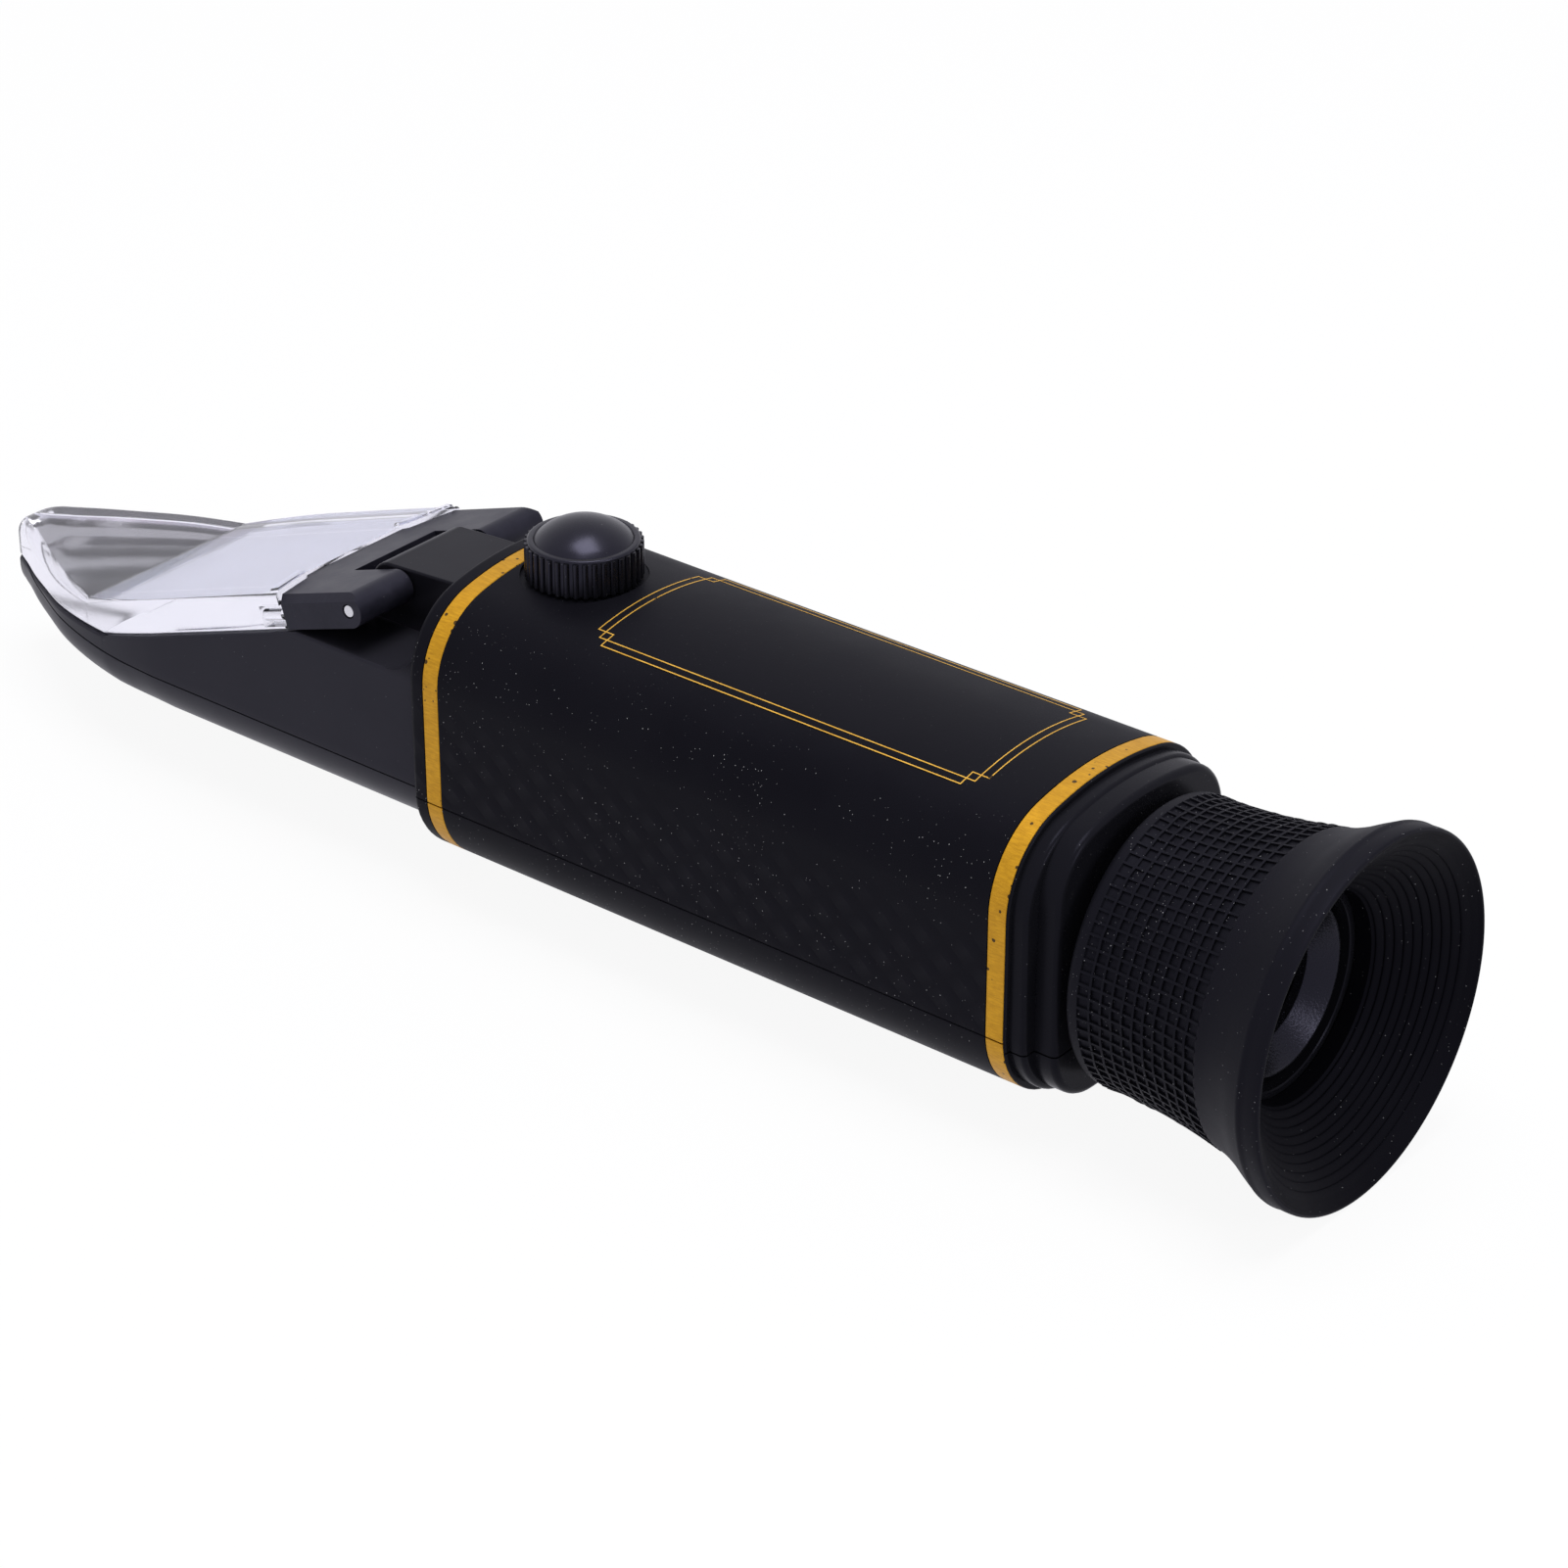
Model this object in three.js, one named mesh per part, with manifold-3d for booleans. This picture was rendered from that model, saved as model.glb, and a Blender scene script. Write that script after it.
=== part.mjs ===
import * as THREE from 'three';
import { mergeVertices } from 'three/addons/utils/BufferGeometryUtils.js';
import Module from 'manifold-3d';

// A hand-held brix refractometer with a hinged daylight plate over a sloping prism, a padded grip,
// a capped calibration screw and a turning rubber eyepiece. Lengths are millimetres.
// While it is built, x is zero at the front face of the grip and runs along the optical axis to the
// eyepiece, y runs across, and z is the height above the belly of the grip.

// Grip section of the housing
const grip_length = 66.1;
const grip_width = 27.0;
const grip_height = 27.2;
const crown_radius = 31.7;
const top_corner_radius = 8.0;
const belly_corner_radius = 7.7;
const least_corner_radius = 0.5;
const housing_wall = 2.0;
const axis_height = 13.1;

// The seam between the two shells, which steps down at the rear collar
const seam_height = 7.2;
const collar_seam_drop = 0.9;
const seam_gap = 0.12;

// Rear collar, two steps
const wide_collar_length = 1.5;
const wide_collar_inset = 0.5;
const narrow_collar_length = 2.1;
const narrow_collar_inset = 2.0;
const narrow_collar_drop = 0.7;

// Gold stripes
const stripe_width = 1.75;
const stripe_from_end = 1.8;
const rear_stripe_from_end = 0.3;
const stripe_thickness = 0.35;
const stripe_floor_gap = 0.15;
const stripe_side_gap = 0.06;

// Nose
const nose_length = 64.6;
const nose_side_step = 1.3;
const nose_belly_step = 1.6;
const nose_taper_length = 30.0;
const nose_belly_radius = 6.7;
const nose_bend_from_grip = 41.9;
const nose_bend_height = 8.9;
const nose_tip_height = 6.9;
const nose_wall = 2.2;
const facet_angle = 19.2;
const recess_floor_drop = 4.15;
const recess_cove_radius = 4.0;
const nose_outline_shares = [
    [0, 0.07], [0.015, 0.13], [0.05, 0.19], [0.12, 0.3], [0.21, 0.43], [0.32, 0.57],
    [0.45, 0.725], [0.6, 0.85], [0.75, 0.935], [0.9, 0.985], [1, 1]
];
const belly_corner_share = 0.75;
const bow_depth_share = 0.45;

// Hinge
const pin_from_grip = 8.36;
const pin_radius = 0.6;
const pin_press_gap = 0.05;
const pin_running_gap = 0.08;
const pin_end_gap = 0.05;
const hinge_block_width = 10.0;
const hinge_block_rise = 1.75;
const bracket_end_inset = 0.1;
const bracket_edge_chamfer = 0.7;
const bracket_less_than_facet = 0.6;
const bracket_half_thickness = 1.6;
const bracket_side_gap = 0.3;
const bracket_facet_gap = 0.1705;
const bracket_notch_reach = 3.0;
const bracket_reach = 11.0;
const bracket_arm_reach = 8.7;
const bracket_shoulder_width = 13.0;

// Daylight plate
const plate_gap = 0.2;
const plate_thickness = 3.6;
const plate_edge_inset = 0.12;
const plate_edge_chamfer = 0.35;
const plate_tip_overhang = 0.15;
const plate_tip_depth = 4.6;
const plate_tip_round = 1.8;
const plate_tip_share = 0.5;
const plate_rear_gap = 0.25;
const plate_top_bend_from_bend = 2.7;
const lug_radius = 0.9;
const lug_length = 2.6;
const lug_spacing = 18.0;
const lug_gap = 0.1;

// Prism and what holds it
const prism_rear_from_facet = 3.307;
const prism_width = 16.4;
const prism_front_from_bend = 1.4;
const prism_under_plate = 0.15;
const prism_base_height = 6.0;
const prism_base_front_share = 0.16;
const prism_edge_land = 1.3;
const gasket_width = 1.0;
const gasket_thickness = 1.0;
const fit_gap = 0.3;
const seat_thickness = 1.6;
const retainer_thickness = 1.0;
const light_window_width = 13.0;
const light_window_margin = 1.6;

// Calibration cap, bushing and screw
const cap_from_front = 9.1;
const cap_radius = 5.32;
const cap_rim_height = 3.55;
const cap_dome_radius = 4.37;
const cap_dome_rise = 1.8;
const cap_rib_count = 38;
const cap_rib_depth = 0.28;
const cap_rib_width_share = 0.5;
const cap_seat_drop = 0.45;
const cap_seat_margin = 0.4;
const cap_bore_depth = 3.0;
const cap_lift_gap = 0.25;
const seal_height = 0.7;
const seal_width = 0.9;
const bushing_radius = 2.9;
const bushing_flange_radius = 4.4;
const bushing_flange_thickness = 0.9;
const bushing_head_radius = 2.2;
const bushing_head_depth = 1.7;
const bushing_top_gap = 0.6;
const thread_gap = 0.12;
const screw_head_height = 1.2;
const screw_slot_width = 0.5;
const screw_slot_depth = 0.6;
const screw_shank_radius = 1.2;
const screw_running_gap = 0.1;
const screw_collar_radius = 2.0;
const screw_collar_height = 0.7;
const screw_reach = 0.6;

// Objective lens and its carriage
const objective_radius = 5.0;
const objective_edge = 1.4;
const objective_bulge = 0.9;
const objective_front_bulge = 0.4;
const carriage_length = 4.2;
const carriage_width = 19.0;
const carriage_base_drop = 8.0;
const carriage_lug_height = 2.2;
const carriage_lug_radius = 2.6;
const carriage_neck_width = 8.0;
const carriage_travel = 0.5;
const guide_radius = 0.8;
const guide_spacing = 15.4;
const guide_gap = 0.1;
const guide_foot_gap = 0.3;
const lens_ring_height = 1.1;
const lens_ring_wall = 1.1;
const lens_seat_ledge = 0.8;
const strip_length = 16.0;
const strip_width = 5.0;
const strip_thickness = 0.5;
const strip_from_base = 0.3;
const clamp_length = 4.0;
const clamp_width = 9.0;
const clamp_overlap = 3.0;
const clamp_jaw = 1.2;

// Light baffles
const baffle_thickness = 1.0;
const baffle_places_share = [0.42, 0.66];
const baffle_apertures_share = [0.52, 0.46];

// Reticle
const reticle_radius = 7.4;
const reticle_thickness = 1.2;
const reticle_holder_length = 4.0;
const reticle_holder_wall = 1.5;
const reticle_ledge = 0.8;
const reticle_ring_length = 1.2;
const reticle_ring_wall = 1.3;

// Eyepiece socket, fixed in the rear wall
const socket_radius = 8.6;
const socket_wall = 1.0;
const socket_flange_radius = 10.2;
const socket_flange_length = 1.5;
const rear_wall_length = 2.3;

// Rubber grip and eyecup
const sleeve_clearance = 1.45;
const sleeve_length = 21.85;
const sleeve_bore_radius = 10.55;
const sleeve_radius = 12.8;
const bell_depth = 6.9;
const bell_throat_radius = 9.27;
const bell_lip_width = 0.95;
const eyecup_radius = 16.5;
const sleeve_lip_length = 1.5;
const sleeve_swell_shares = [
    [0, -0.128], [0.018, -0.035], [0.05, 0.014], [0.13, -0.003], [0.22, 0.023], [0.32, 0.059],
    [0.41, 0.117], [0.5, 0.197], [0.59, 0.295], [0.68, 0.416], [0.76, 0.612], [0.83, 0.831],
    [0.88, 0.942], [0.93, 1], [0.965, 1], [0.99, 0.933]
];

// Eyepiece barrel and what turns with it
const barrel_thread_gap = 0.1;
const sleeve_fit_gap = 0.15;
const focus_travel_in = 0.5;
const barrel_end_gap = 0.15;
const barrel_front_gap = 0.2;
const ring_groove_from_front = 1.0;
const ring_groove_length = 1.4;
const ring_groove_depth = 0.9;
const ring_gap = 0.12;
const cone_length = 2.6;
const cone_mouth_radius = 7.13;
const cone_hole_radius = 4.8;
const cone_land = 0.45;
const cone_recess = 0.15;
const cone_rim = 0.35;
const eye_lens_edge = 1.0;
const eye_lens_bulge = 0.45;
const field_lens_edge = 1.0;
const field_lens_bulge = 0.7;
const spacer_length = 0.9;
const spacer_wall = 1.2;
const lens_side_gap = 0.15;

// Housing screws
const screw_stations_share = [0.3, 0.82];
const housing_screw_from_side = 4.7;
const housing_screw_radius = 0.9;
const housing_screw_head_radius = 1.7;
const housing_screw_head_height = 1.2;
const housing_screw_length = 8.0;
const housing_screw_hole_gap = 0.12;
const screw_boss_radius = 2.2;
const screw_boss_height = 6.0;
const head_sink = 0.3;

// Fineness of the round shapes, and the overrun of every cut
const section_steps = 6;
const turned_sides = 28;
const bell_sides = 44;
const small_sides = 16;
const arc_steps = 5;
const overrun = 1.0;

const wasm = await Module();
wasm.setup();

// Turns any closed triangle mesh into one welded body with its faces pointing out.
function weld(geometry) {
    const bare = geometry.clone();
    bare.deleteAttribute('normal');
    bare.deleteAttribute('uv');
    const merged = mergeVertices(bare);
    const place = merged.getAttribute('position');
    const index = Array.from(merged.getIndex().array);
    const corners = [];
    let volume = 0;
    for (let i = 0; i < index.length; i += 3) {
        const [a, b, c] = [index[i], index[i + 1], index[i + 2]];
        if (a === b || b === c || c === a) {
            continue;
        }
        corners.push([a, b, c]);
        const points = [a, b, c].map((k) => new THREE.Vector3().fromBufferAttribute(place, k));
        volume += points[0].dot(points[1].cross(points[2]));
    }
    const outward = volume > 0;
    const turned = corners.map(([a, b, c]) => (outward ? [a, b, c] : [a, c, b]));
    merged.setIndex(turned.flat());
    return merged;
}

function toSolid(geometry) {
    const body = weld(geometry);
    const mesh = new wasm.Mesh({
        numProp: 3,
        vertProperties: new Float32Array(body.getAttribute('position').array),
        triVerts: new Uint32Array(body.getIndex().array)
    });
    return new wasm.Manifold(mesh);
}

function toGeometry(solid) {
    const mesh = solid.getMesh();
    const geometry = new THREE.BufferGeometry();
    geometry.setAttribute('position', new THREE.BufferAttribute(new Float32Array(mesh.vertProperties), 3));
    geometry.setIndex(Array.from(mesh.triVerts));
    return geometry;
}

function join(first, ...others) {
    return others.reduce((sum, other) => sum.add(other), first);
}

function cut(first, ...others) {
    return others.reduce((rest, other) => rest.subtract(other), first);
}

// The frame that turns a drawing on x and y, with its depth on z, into one on y and z with its depth on x.
const along_axis = new THREE.Matrix4().makeBasis(
    new THREE.Vector3(0, 1, 0), new THREE.Vector3(0, 0, 1), new THREE.Vector3(1, 0, 0)
);

// A flat outline in y and z, drawn out along x.
function alongX(shape, from, to) {
    const geometry = new THREE.ExtrudeGeometry(shape, {
        depth: to - from, bevelEnabled: false, curveSegments: section_steps
    });
    geometry.applyMatrix4(along_axis);
    geometry.translate(from, 0, 0);
    return toSolid(geometry);
}

// A flat outline in x and z, drawn out along y, in the main frame or in a leaning one.
function alongY(shape, from, to, frame = null) {
    const geometry = new THREE.ExtrudeGeometry(shape, {
        depth: to - from, bevelEnabled: false, curveSegments: arc_steps
    });
    geometry.rotateX(Math.PI / 2);
    geometry.translate(0, to, 0);
    return toSolid(frame ? geometry.applyMatrix4(frame) : geometry);
}

// A flat outline in x and y, drawn out along z, in the main frame or in a leaning one.
function alongZ(shape, from, to, frame = null) {
    const geometry = new THREE.ExtrudeGeometry(shape, {
        depth: to - from, bevelEnabled: false, curveSegments: arc_steps
    });
    geometry.translate(0, 0, from);
    return toSolid(frame ? geometry.applyMatrix4(frame) : geometry);
}

function box(x0, x1, y0, y1, z0, z1) {
    const geometry = new THREE.BoxGeometry(x1 - x0, y1 - y0, z1 - z0);
    geometry.translate((x0 + x1) / 2, (y0 + y1) / 2, (z0 + z1) / 2);
    return toSolid(geometry);
}

function outline(points) {
    return new THREE.Shape(points.map(([u, v]) => new THREE.Vector2(u, v)));
}

// A turned body on the optical axis; each point of the profile is [distance along x, radius].
function turnedOnAxis(profile, sides = turned_sides) {
    const points = profile.map(([along, radius]) => new THREE.Vector2(radius, along));
    const geometry = new THREE.LatheGeometry(points, sides);
    geometry.rotateZ(-Math.PI / 2);
    geometry.translate(0, 0, axis_height);
    return toSolid(geometry);
}

// A turned body that stands upright; each point of the profile is [height, radius].
function turnedUpright(profile, x, y, sides = turned_sides) {
    const points = profile.map(([height, radius]) => new THREE.Vector2(radius, height));
    const geometry = new THREE.LatheGeometry(points, sides);
    geometry.rotateX(Math.PI / 2);
    geometry.translate(x, y, 0);
    return toSolid(geometry);
}

// The outline of a plain ring or disc between two places, as a closed or axis-to-axis profile.
function ringProfile(from, to, inner, outer) {
    return [[from, inner], [from, outer], [to, outer], [to, inner], [from, inner]];
}

function discProfile(from, to, radius) {
    return [[from, 0], [from, radius], [to, radius], [to, 0]];
}

// A lens between two faces that bulge outwards, with a plain edge between them.
function lensProfile(from, edge, bulge_front, bulge_rear, radius) {
    const profile = [];
    for (let i = 0; i <= arc_steps; i += 1) {
        const share = i / arc_steps;
        profile.push([from - bulge_front * (1 - share * share), radius * share]);
    }
    for (let i = arc_steps; i >= 0; i -= 1) {
        const share = i / arc_steps;
        profile.push([from + edge + bulge_rear * (1 - share * share), radius * share]);
    }
    return profile;
}

// A straight rod between two places on the y axis of a frame, or on its x axis when laid lengthways.
function rod(radius, from, to, frame, lengthways = false) {
    const geometry = new THREE.CylinderGeometry(radius, radius, to - from, small_sides);
    geometry.translate(0, (from + to) / 2, 0);
    if (lengthways) {
        geometry.rotateZ(-Math.PI / 2);
    }
    return toSolid(geometry.applyMatrix4(frame));
}

// The grip's cross-section, drawn in at the sides by an inset and at top and belly by a drop: flat belly,
// round corners, straight sides, crowned top.
function gripSection(inset, drop = inset) {
    const half = grip_width / 2 - inset;
    const top = grip_height - drop;
    const crown = crown_radius - drop;
    const upper = Math.max(top_corner_radius - inset, least_corner_radius);
    const lower = Math.max(belly_corner_radius - inset, least_corner_radius);
    const crown_centre = top - crown;
    const corner_y = half - upper;
    const corner_z = crown_centre + Math.sqrt((crown - upper) ** 2 - corner_y ** 2);
    const turn = Math.atan2(corner_z - crown_centre, corner_y);
    const shape = new THREE.Shape();
    shape.moveTo(lower - half, drop);
    shape.lineTo(half - lower, drop);
    shape.absarc(half - lower, drop + lower, lower, -Math.PI / 2, 0);
    shape.absarc(corner_y, corner_z, upper, 0, turn);
    shape.absarc(0, crown_centre, crown, turn, Math.PI - turn);
    shape.absarc(-corner_y, corner_z, upper, Math.PI - turn, Math.PI);
    shape.absarc(lower - half, drop + lower, lower, Math.PI, Math.PI * 1.5);
    return shape;
}

// Height of the crown at a distance from the middle, at the surface or at an inset from it.
function crownHeight(y, inset = 0) {
    return grip_height - crown_radius + Math.sqrt((crown_radius - inset) ** 2 - y ** 2);
}

// Places along x
const grip_rear = grip_length;
const wide_collar_rear = grip_rear + wide_collar_length;
const collar_rear = wide_collar_rear + narrow_collar_length;
const nose_tip = -nose_length;
const nose_bend = -nose_bend_from_grip;
const nose_half_width = grip_width / 2 - nose_side_step;
const bracket_width = (nose_half_width - bracket_end_inset) * 2;
const facet_slope = Math.tan(THREE.MathUtils.degToRad(facet_angle));
// The pin stands over the facet by the bracket's half thickness, and the floor behind the facet lies
// below the pin. The facet ends where it meets that floor.
const pin_x = -pin_from_grip;
const facet_at_pin = nose_bend_height + facet_slope * (pin_x - nose_bend);
const pin_height = facet_at_pin + bracket_half_thickness + bracket_facet_gap;
const recess_floor_height = pin_height - recess_floor_drop;
const facet_end = nose_bend + (recess_floor_height - nose_bend_height) / facet_slope;
// The bracket's own frame: centred on the pin and leaning with the bracket.
const bracket_lean = THREE.MathUtils.degToRad(facet_angle - bracket_less_than_facet);
const on_pin = new THREE.Matrix4().makeRotationY(-bracket_lean).setPosition(pin_x, 0, pin_height);

// Half width of the nose at a place, from the share of the taper that lies in front of it.
function noseShare(x) {
    const along = THREE.MathUtils.clamp((x - nose_tip) / nose_taper_length, 0, 1);
    for (let i = 1; i < nose_outline_shares.length; i += 1) {
        const [a0, w0] = nose_outline_shares[i - 1];
        const [a1, w1] = nose_outline_shares[i];
        if (along <= a1) {
            return w0 + (w1 - w0) * (along - a0) / (a1 - a0);
        }
    }
    return 1;
}

function roofHeight(x) {
    if (x < nose_bend) {
        const share = (x - nose_tip) / (nose_bend - nose_tip);
        return nose_tip_height + (nose_bend_height - nose_tip_height) * share;
    }
    return Math.min(nose_bend_height + facet_slope * (x - nose_bend), recess_floor_height);
}

// Skins a row of rings of equal length and closes both ends.
function loft(rings) {
    const count = rings[0].length;
    const corners = rings.flat().flat();
    const faces = [];
    for (let r = 0; r + 1 < rings.length; r += 1) {
        for (let i = 0; i < count; i += 1) {
            const [a, b] = [r * count + i, r * count + (i + 1) % count];
            faces.push(a, b, b + count, a, b + count, a + count);
        }
    }
    const last = (rings.length - 1) * count;
    for (let i = 1; i + 1 < count; i += 1) {
        faces.push(0, i + 1, i, last, last + i, last + i + 1);
    }
    const geometry = new THREE.BufferGeometry();
    geometry.setAttribute('position', new THREE.Float32BufferAttribute(corners, 3));
    geometry.setIndex(faces);
    return toSolid(geometry);
}

// Stations of the nose: the taper's own, the bend of the roof, the end of the slope and the grip.
function noseStations(last) {
    const taper = nose_outline_shares.map(([along]) => nose_tip + along * nose_taper_length);
    const all = [...taper, nose_bend, facet_end, last].filter((x) => x <= last);
    return [...new Set(all)].sort((a, b) => a - b);
}

// One cross-section of the nose, with its belly rounded and rising towards the bow.
function noseRing(x) {
    const share = noseShare(x);
    const half = nose_half_width * share;
    const roof = roofHeight(x);
    const belly_depth = (seam_height - nose_belly_step) * (bow_depth_share + (1 - bow_depth_share) * share);
    const belly = seam_height - belly_depth;
    const across = (nose_belly_radius / nose_half_width) * half;
    const rise = Math.min(nose_belly_radius, belly_corner_share * (roof - belly));
    const ring = [[x, -half, roof]];
    for (let i = 0; i <= arc_steps; i += 1) {
        const angle = (i / arc_steps) * Math.PI / 2;
        ring.push([x, across - half - across * Math.cos(angle), belly + rise - rise * Math.sin(angle)]);
    }
    for (let i = arc_steps; i >= 0; i -= 1) {
        const angle = (i / arc_steps) * Math.PI / 2;
        ring.push([x, half - across + across * Math.cos(angle), belly + rise - rise * Math.sin(angle)]);
    }
    ring.push([x, half, roof]);
    return ring;
}

// Housing: the whole outer form first, then its hollows, then the split along the seam.
function noseSolid() {
    return loft(noseStations(overrun).map(noseRing));
}

function recessCove() {
    const shape = new THREE.Shape();
    const top = recess_floor_height + recess_cove_radius;
    shape.moveTo(overrun, recess_floor_height - overrun);
    shape.lineTo(overrun, top);
    shape.lineTo(0, top);
    shape.absarc(-recess_cove_radius, top, recess_cove_radius, 0, -Math.PI / 2, true);
    shape.lineTo(-recess_cove_radius, recess_floor_height - overrun);
    const reach = recess_cove_radius + overrun;
    return alongY(shape, -nose_half_width, nose_half_width)
        .intersect(alongX(gripSection(nose_side_step), -reach, reach));
}

function hingeBlock() {
    const shape = new THREE.Shape();
    shape.moveTo(pin_x - hinge_block_rise, recess_floor_height - overrun);
    shape.lineTo(pin_x - hinge_block_rise, pin_height);
    shape.absarc(pin_x, pin_height, hinge_block_rise, Math.PI, Math.PI / 2, true);
    shape.lineTo(overrun, pin_height + hinge_block_rise);
    shape.lineTo(overrun, recess_floor_height - overrun);
    return alongY(shape, -hinge_block_width / 2, hinge_block_width / 2);
}

function stripeGroove(from) {
    const depth = stripe_thickness + stripe_floor_gap;
    const to = from + stripe_width;
    const outer = alongX(gripSection(-overrun), from - stripe_side_gap, to + stripe_side_gap);
    return outer.subtract(alongX(gripSection(depth), from - overrun, to + overrun));
}

const front_stripe_place = stripe_from_end;
const rear_stripe_place = grip_rear - rear_stripe_from_end - stripe_width;

const cap_seat = grip_height - cap_seat_drop;
const cavity_front = housing_wall;
const cavity_rear = grip_rear - rear_wall_length;
const prism_front = nose_bend + prism_front_from_bend;
const prism_rear = facet_end - prism_rear_from_facet;
const prism_top = (x) => nose_bend_height + facet_slope * (x - nose_bend) - prism_under_plate;
const prism_base_front = prism_front + (prism_rear - prism_front) * prism_base_front_share;
const seat_floor = prism_base_height - fit_gap - seat_thickness;
const light_channel_half = light_window_width / 2 + light_window_margin;
const light_channel_roof = recess_floor_height - nose_wall;

// The prism's side outline, made larger by a margin all round; a margin carries it past the roof.
function prismOutline(margin) {
    const front = prism_front - margin;
    const rear = prism_rear + margin;
    const rise = overrun * Math.sign(margin);
    return outline([
        [front, prism_top(front) + rise],
        [rear, prism_top(rear) + rise],
        [rear, prism_base_height - margin],
        [prism_base_front - margin, prism_base_height - margin],
        [front, prism_top(prism_front) - prism_edge_land]
    ]);
}

function prismPocket() {
    const margin = gasket_width + fit_gap * 2;
    const half = prism_width / 2 + margin;
    const body = alongY(prismOutline(margin), -half, half);
    const retainer_room = retainer_thickness + fit_gap * 2;
    const tail = box(
        prism_rear, prism_rear + margin + retainer_room, -half, half,
        seat_floor - fit_gap, light_channel_roof
    );
    const sole = box(
        prism_base_front, prism_rear + margin, -half, half, seat_floor - fit_gap, prism_base_height
    );
    return join(body, tail, sole);
}

function lightChannel() {
    return box(
        prism_rear, cavity_front + overrun, -light_channel_half, light_channel_half,
        prism_base_height - fit_gap, light_channel_roof
    );
}

function uprightRod(x, y, radius, from, to, sides = small_sides) {
    return turnedUpright(discProfile(from, to, radius), x, y, sides);
}

const screw_places = [];
for (const share of screw_stations_share) {
    for (const side of [-1, 1]) {
        screw_places.push([grip_length * share, side * (grip_width / 2 - housing_screw_from_side)]);
    }
}

// Height of the belly at a distance from the middle, at the surface or at an inset from it.
function bellyHeight(y, inset = 0) {
    const flat = grip_width / 2 - belly_corner_radius;
    const over = Math.max(Math.abs(y) - flat, 0);
    return belly_corner_radius - Math.sqrt((belly_corner_radius - inset) ** 2 - over ** 2);
}

function screwHeadBase(y) {
    return bellyHeight(Math.abs(y) + housing_screw_head_radius) + head_sink;
}

function screwRoom(x, y, base) {
    const top = base + housing_screw_length + fit_gap;
    const head = housing_screw_head_radius + housing_screw_hole_gap;
    const shank = housing_screw_radius + housing_screw_hole_gap;
    const head_top = base + housing_screw_head_height;
    return join(
        uprightRod(x, y, head, -overrun, head_top + fit_gap),
        uprightRod(x, y, shank, base, top)
    );
}

function screwBoss(x, y) {
    const side = Math.sign(y);
    const wall = side * (grip_width / 2 - housing_wall / 2);
    const boss = uprightRod(x, y, screw_boss_radius, housing_wall / 2, seam_height + screw_boss_height);
    const web = box(
        x - screw_boss_radius, x + screw_boss_radius, Math.min(y, wall), Math.max(y, wall),
        belly_corner_radius / 2, seam_height + screw_boss_height
    );
    return join(boss, web);
}

function housingSolid() {
    const grip = alongX(gripSection(0), 0, grip_rear);
    const outer = join(
        grip,
        alongX(gripSection(wide_collar_inset), grip_rear - overrun, wide_collar_rear),
        alongX(gripSection(narrow_collar_inset, narrow_collar_drop), wide_collar_rear - overrun, collar_rear),
        noseSolid(), recessCove(), hingeBlock()
    );
    const hollow = alongX(gripSection(housing_wall), cavity_front, cavity_rear);
    const bosses = screw_places.map(([x, y]) => screwBoss(x, y).intersect(grip));
    const hollowed = join(cut(outer, hollow), ...bosses);
    const bore = turnedOnAxis(
        discProfile(cavity_rear - overrun, collar_rear + overrun, socket_radius + fit_gap)
    );
    const flange_room = turnedOnAxis(discProfile(
        cavity_rear - overrun, cavity_rear + socket_flange_length / 2, socket_flange_radius + fit_gap
    ));
    return cut(
        hollowed, bore, flange_room, stripeGroove(front_stripe_place), stripeGroove(rear_stripe_place),
        prismPocket(), lightChannel(),
        rod(pin_radius + pin_press_gap, -grip_width, grip_width, on_pin),
        uprightRod(
            cap_from_front, 0, cap_radius + cap_seat_margin, cap_seat, grip_height + overrun, turned_sides
        ),
        uprightRod(cap_from_front, 0, bushing_radius + thread_gap, cap_seat - housing_wall * 2, grip_height),
        ...screw_places.map(([x, y]) => screwRoom(x, y, screwHeadBase(y)))
    );
}

// The room above or below the seam, with the step at the collar.
function seamSide(sign) {
    const main = seam_height + sign * seam_gap / 2;
    const rear = main - collar_seam_drop;
    const far = sign > 0 ? grip_height + overrun * 2 : -overrun;
    const left = nose_tip - overrun;
    const right = collar_rear + overrun;
    const step = grip_rear - rear_stripe_from_end / 2;
    const shape = outline([
        [left, main], [step, main], [step, rear], [right, rear], [right, far], [left, far]
    ]);
    return alongY(shape, -grip_width, grip_width);
}

const housing = housingSolid();

function housingShell(sign) {
    return housing.intersect(seamSide(sign));
}

// Gold stripe: a thin band round the grip, cut by the same seam.
function stripe(place, sign) {
    const band = alongX(gripSection(0), place, place + stripe_width)
        .subtract(alongX(gripSection(stripe_thickness), place - overrun, place + stripe_width + overrun));
    return band.intersect(seamSide(sign));
}

function mainPrism() {
    return alongY(prismOutline(0), -prism_width / 2, prism_width / 2);
}

// Rubber frame round the top of the prism.
function prismGasket() {
    const inner = prism_width / 2 + fit_gap;
    const outer = inner + gasket_width;
    const margin = gasket_width + fit_gap;
    const band = outline([
        [prism_front - margin, prism_top(prism_front - margin)],
        [prism_rear + margin, prism_top(prism_rear + margin)],
        [prism_rear + margin, prism_top(prism_rear + margin) - gasket_thickness],
        [prism_front - margin, prism_top(prism_front - margin) - gasket_thickness]
    ]);
    return alongY(band, -outer, outer).subtract(alongY(prismOutline(fit_gap), -inner, inner));
}

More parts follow.
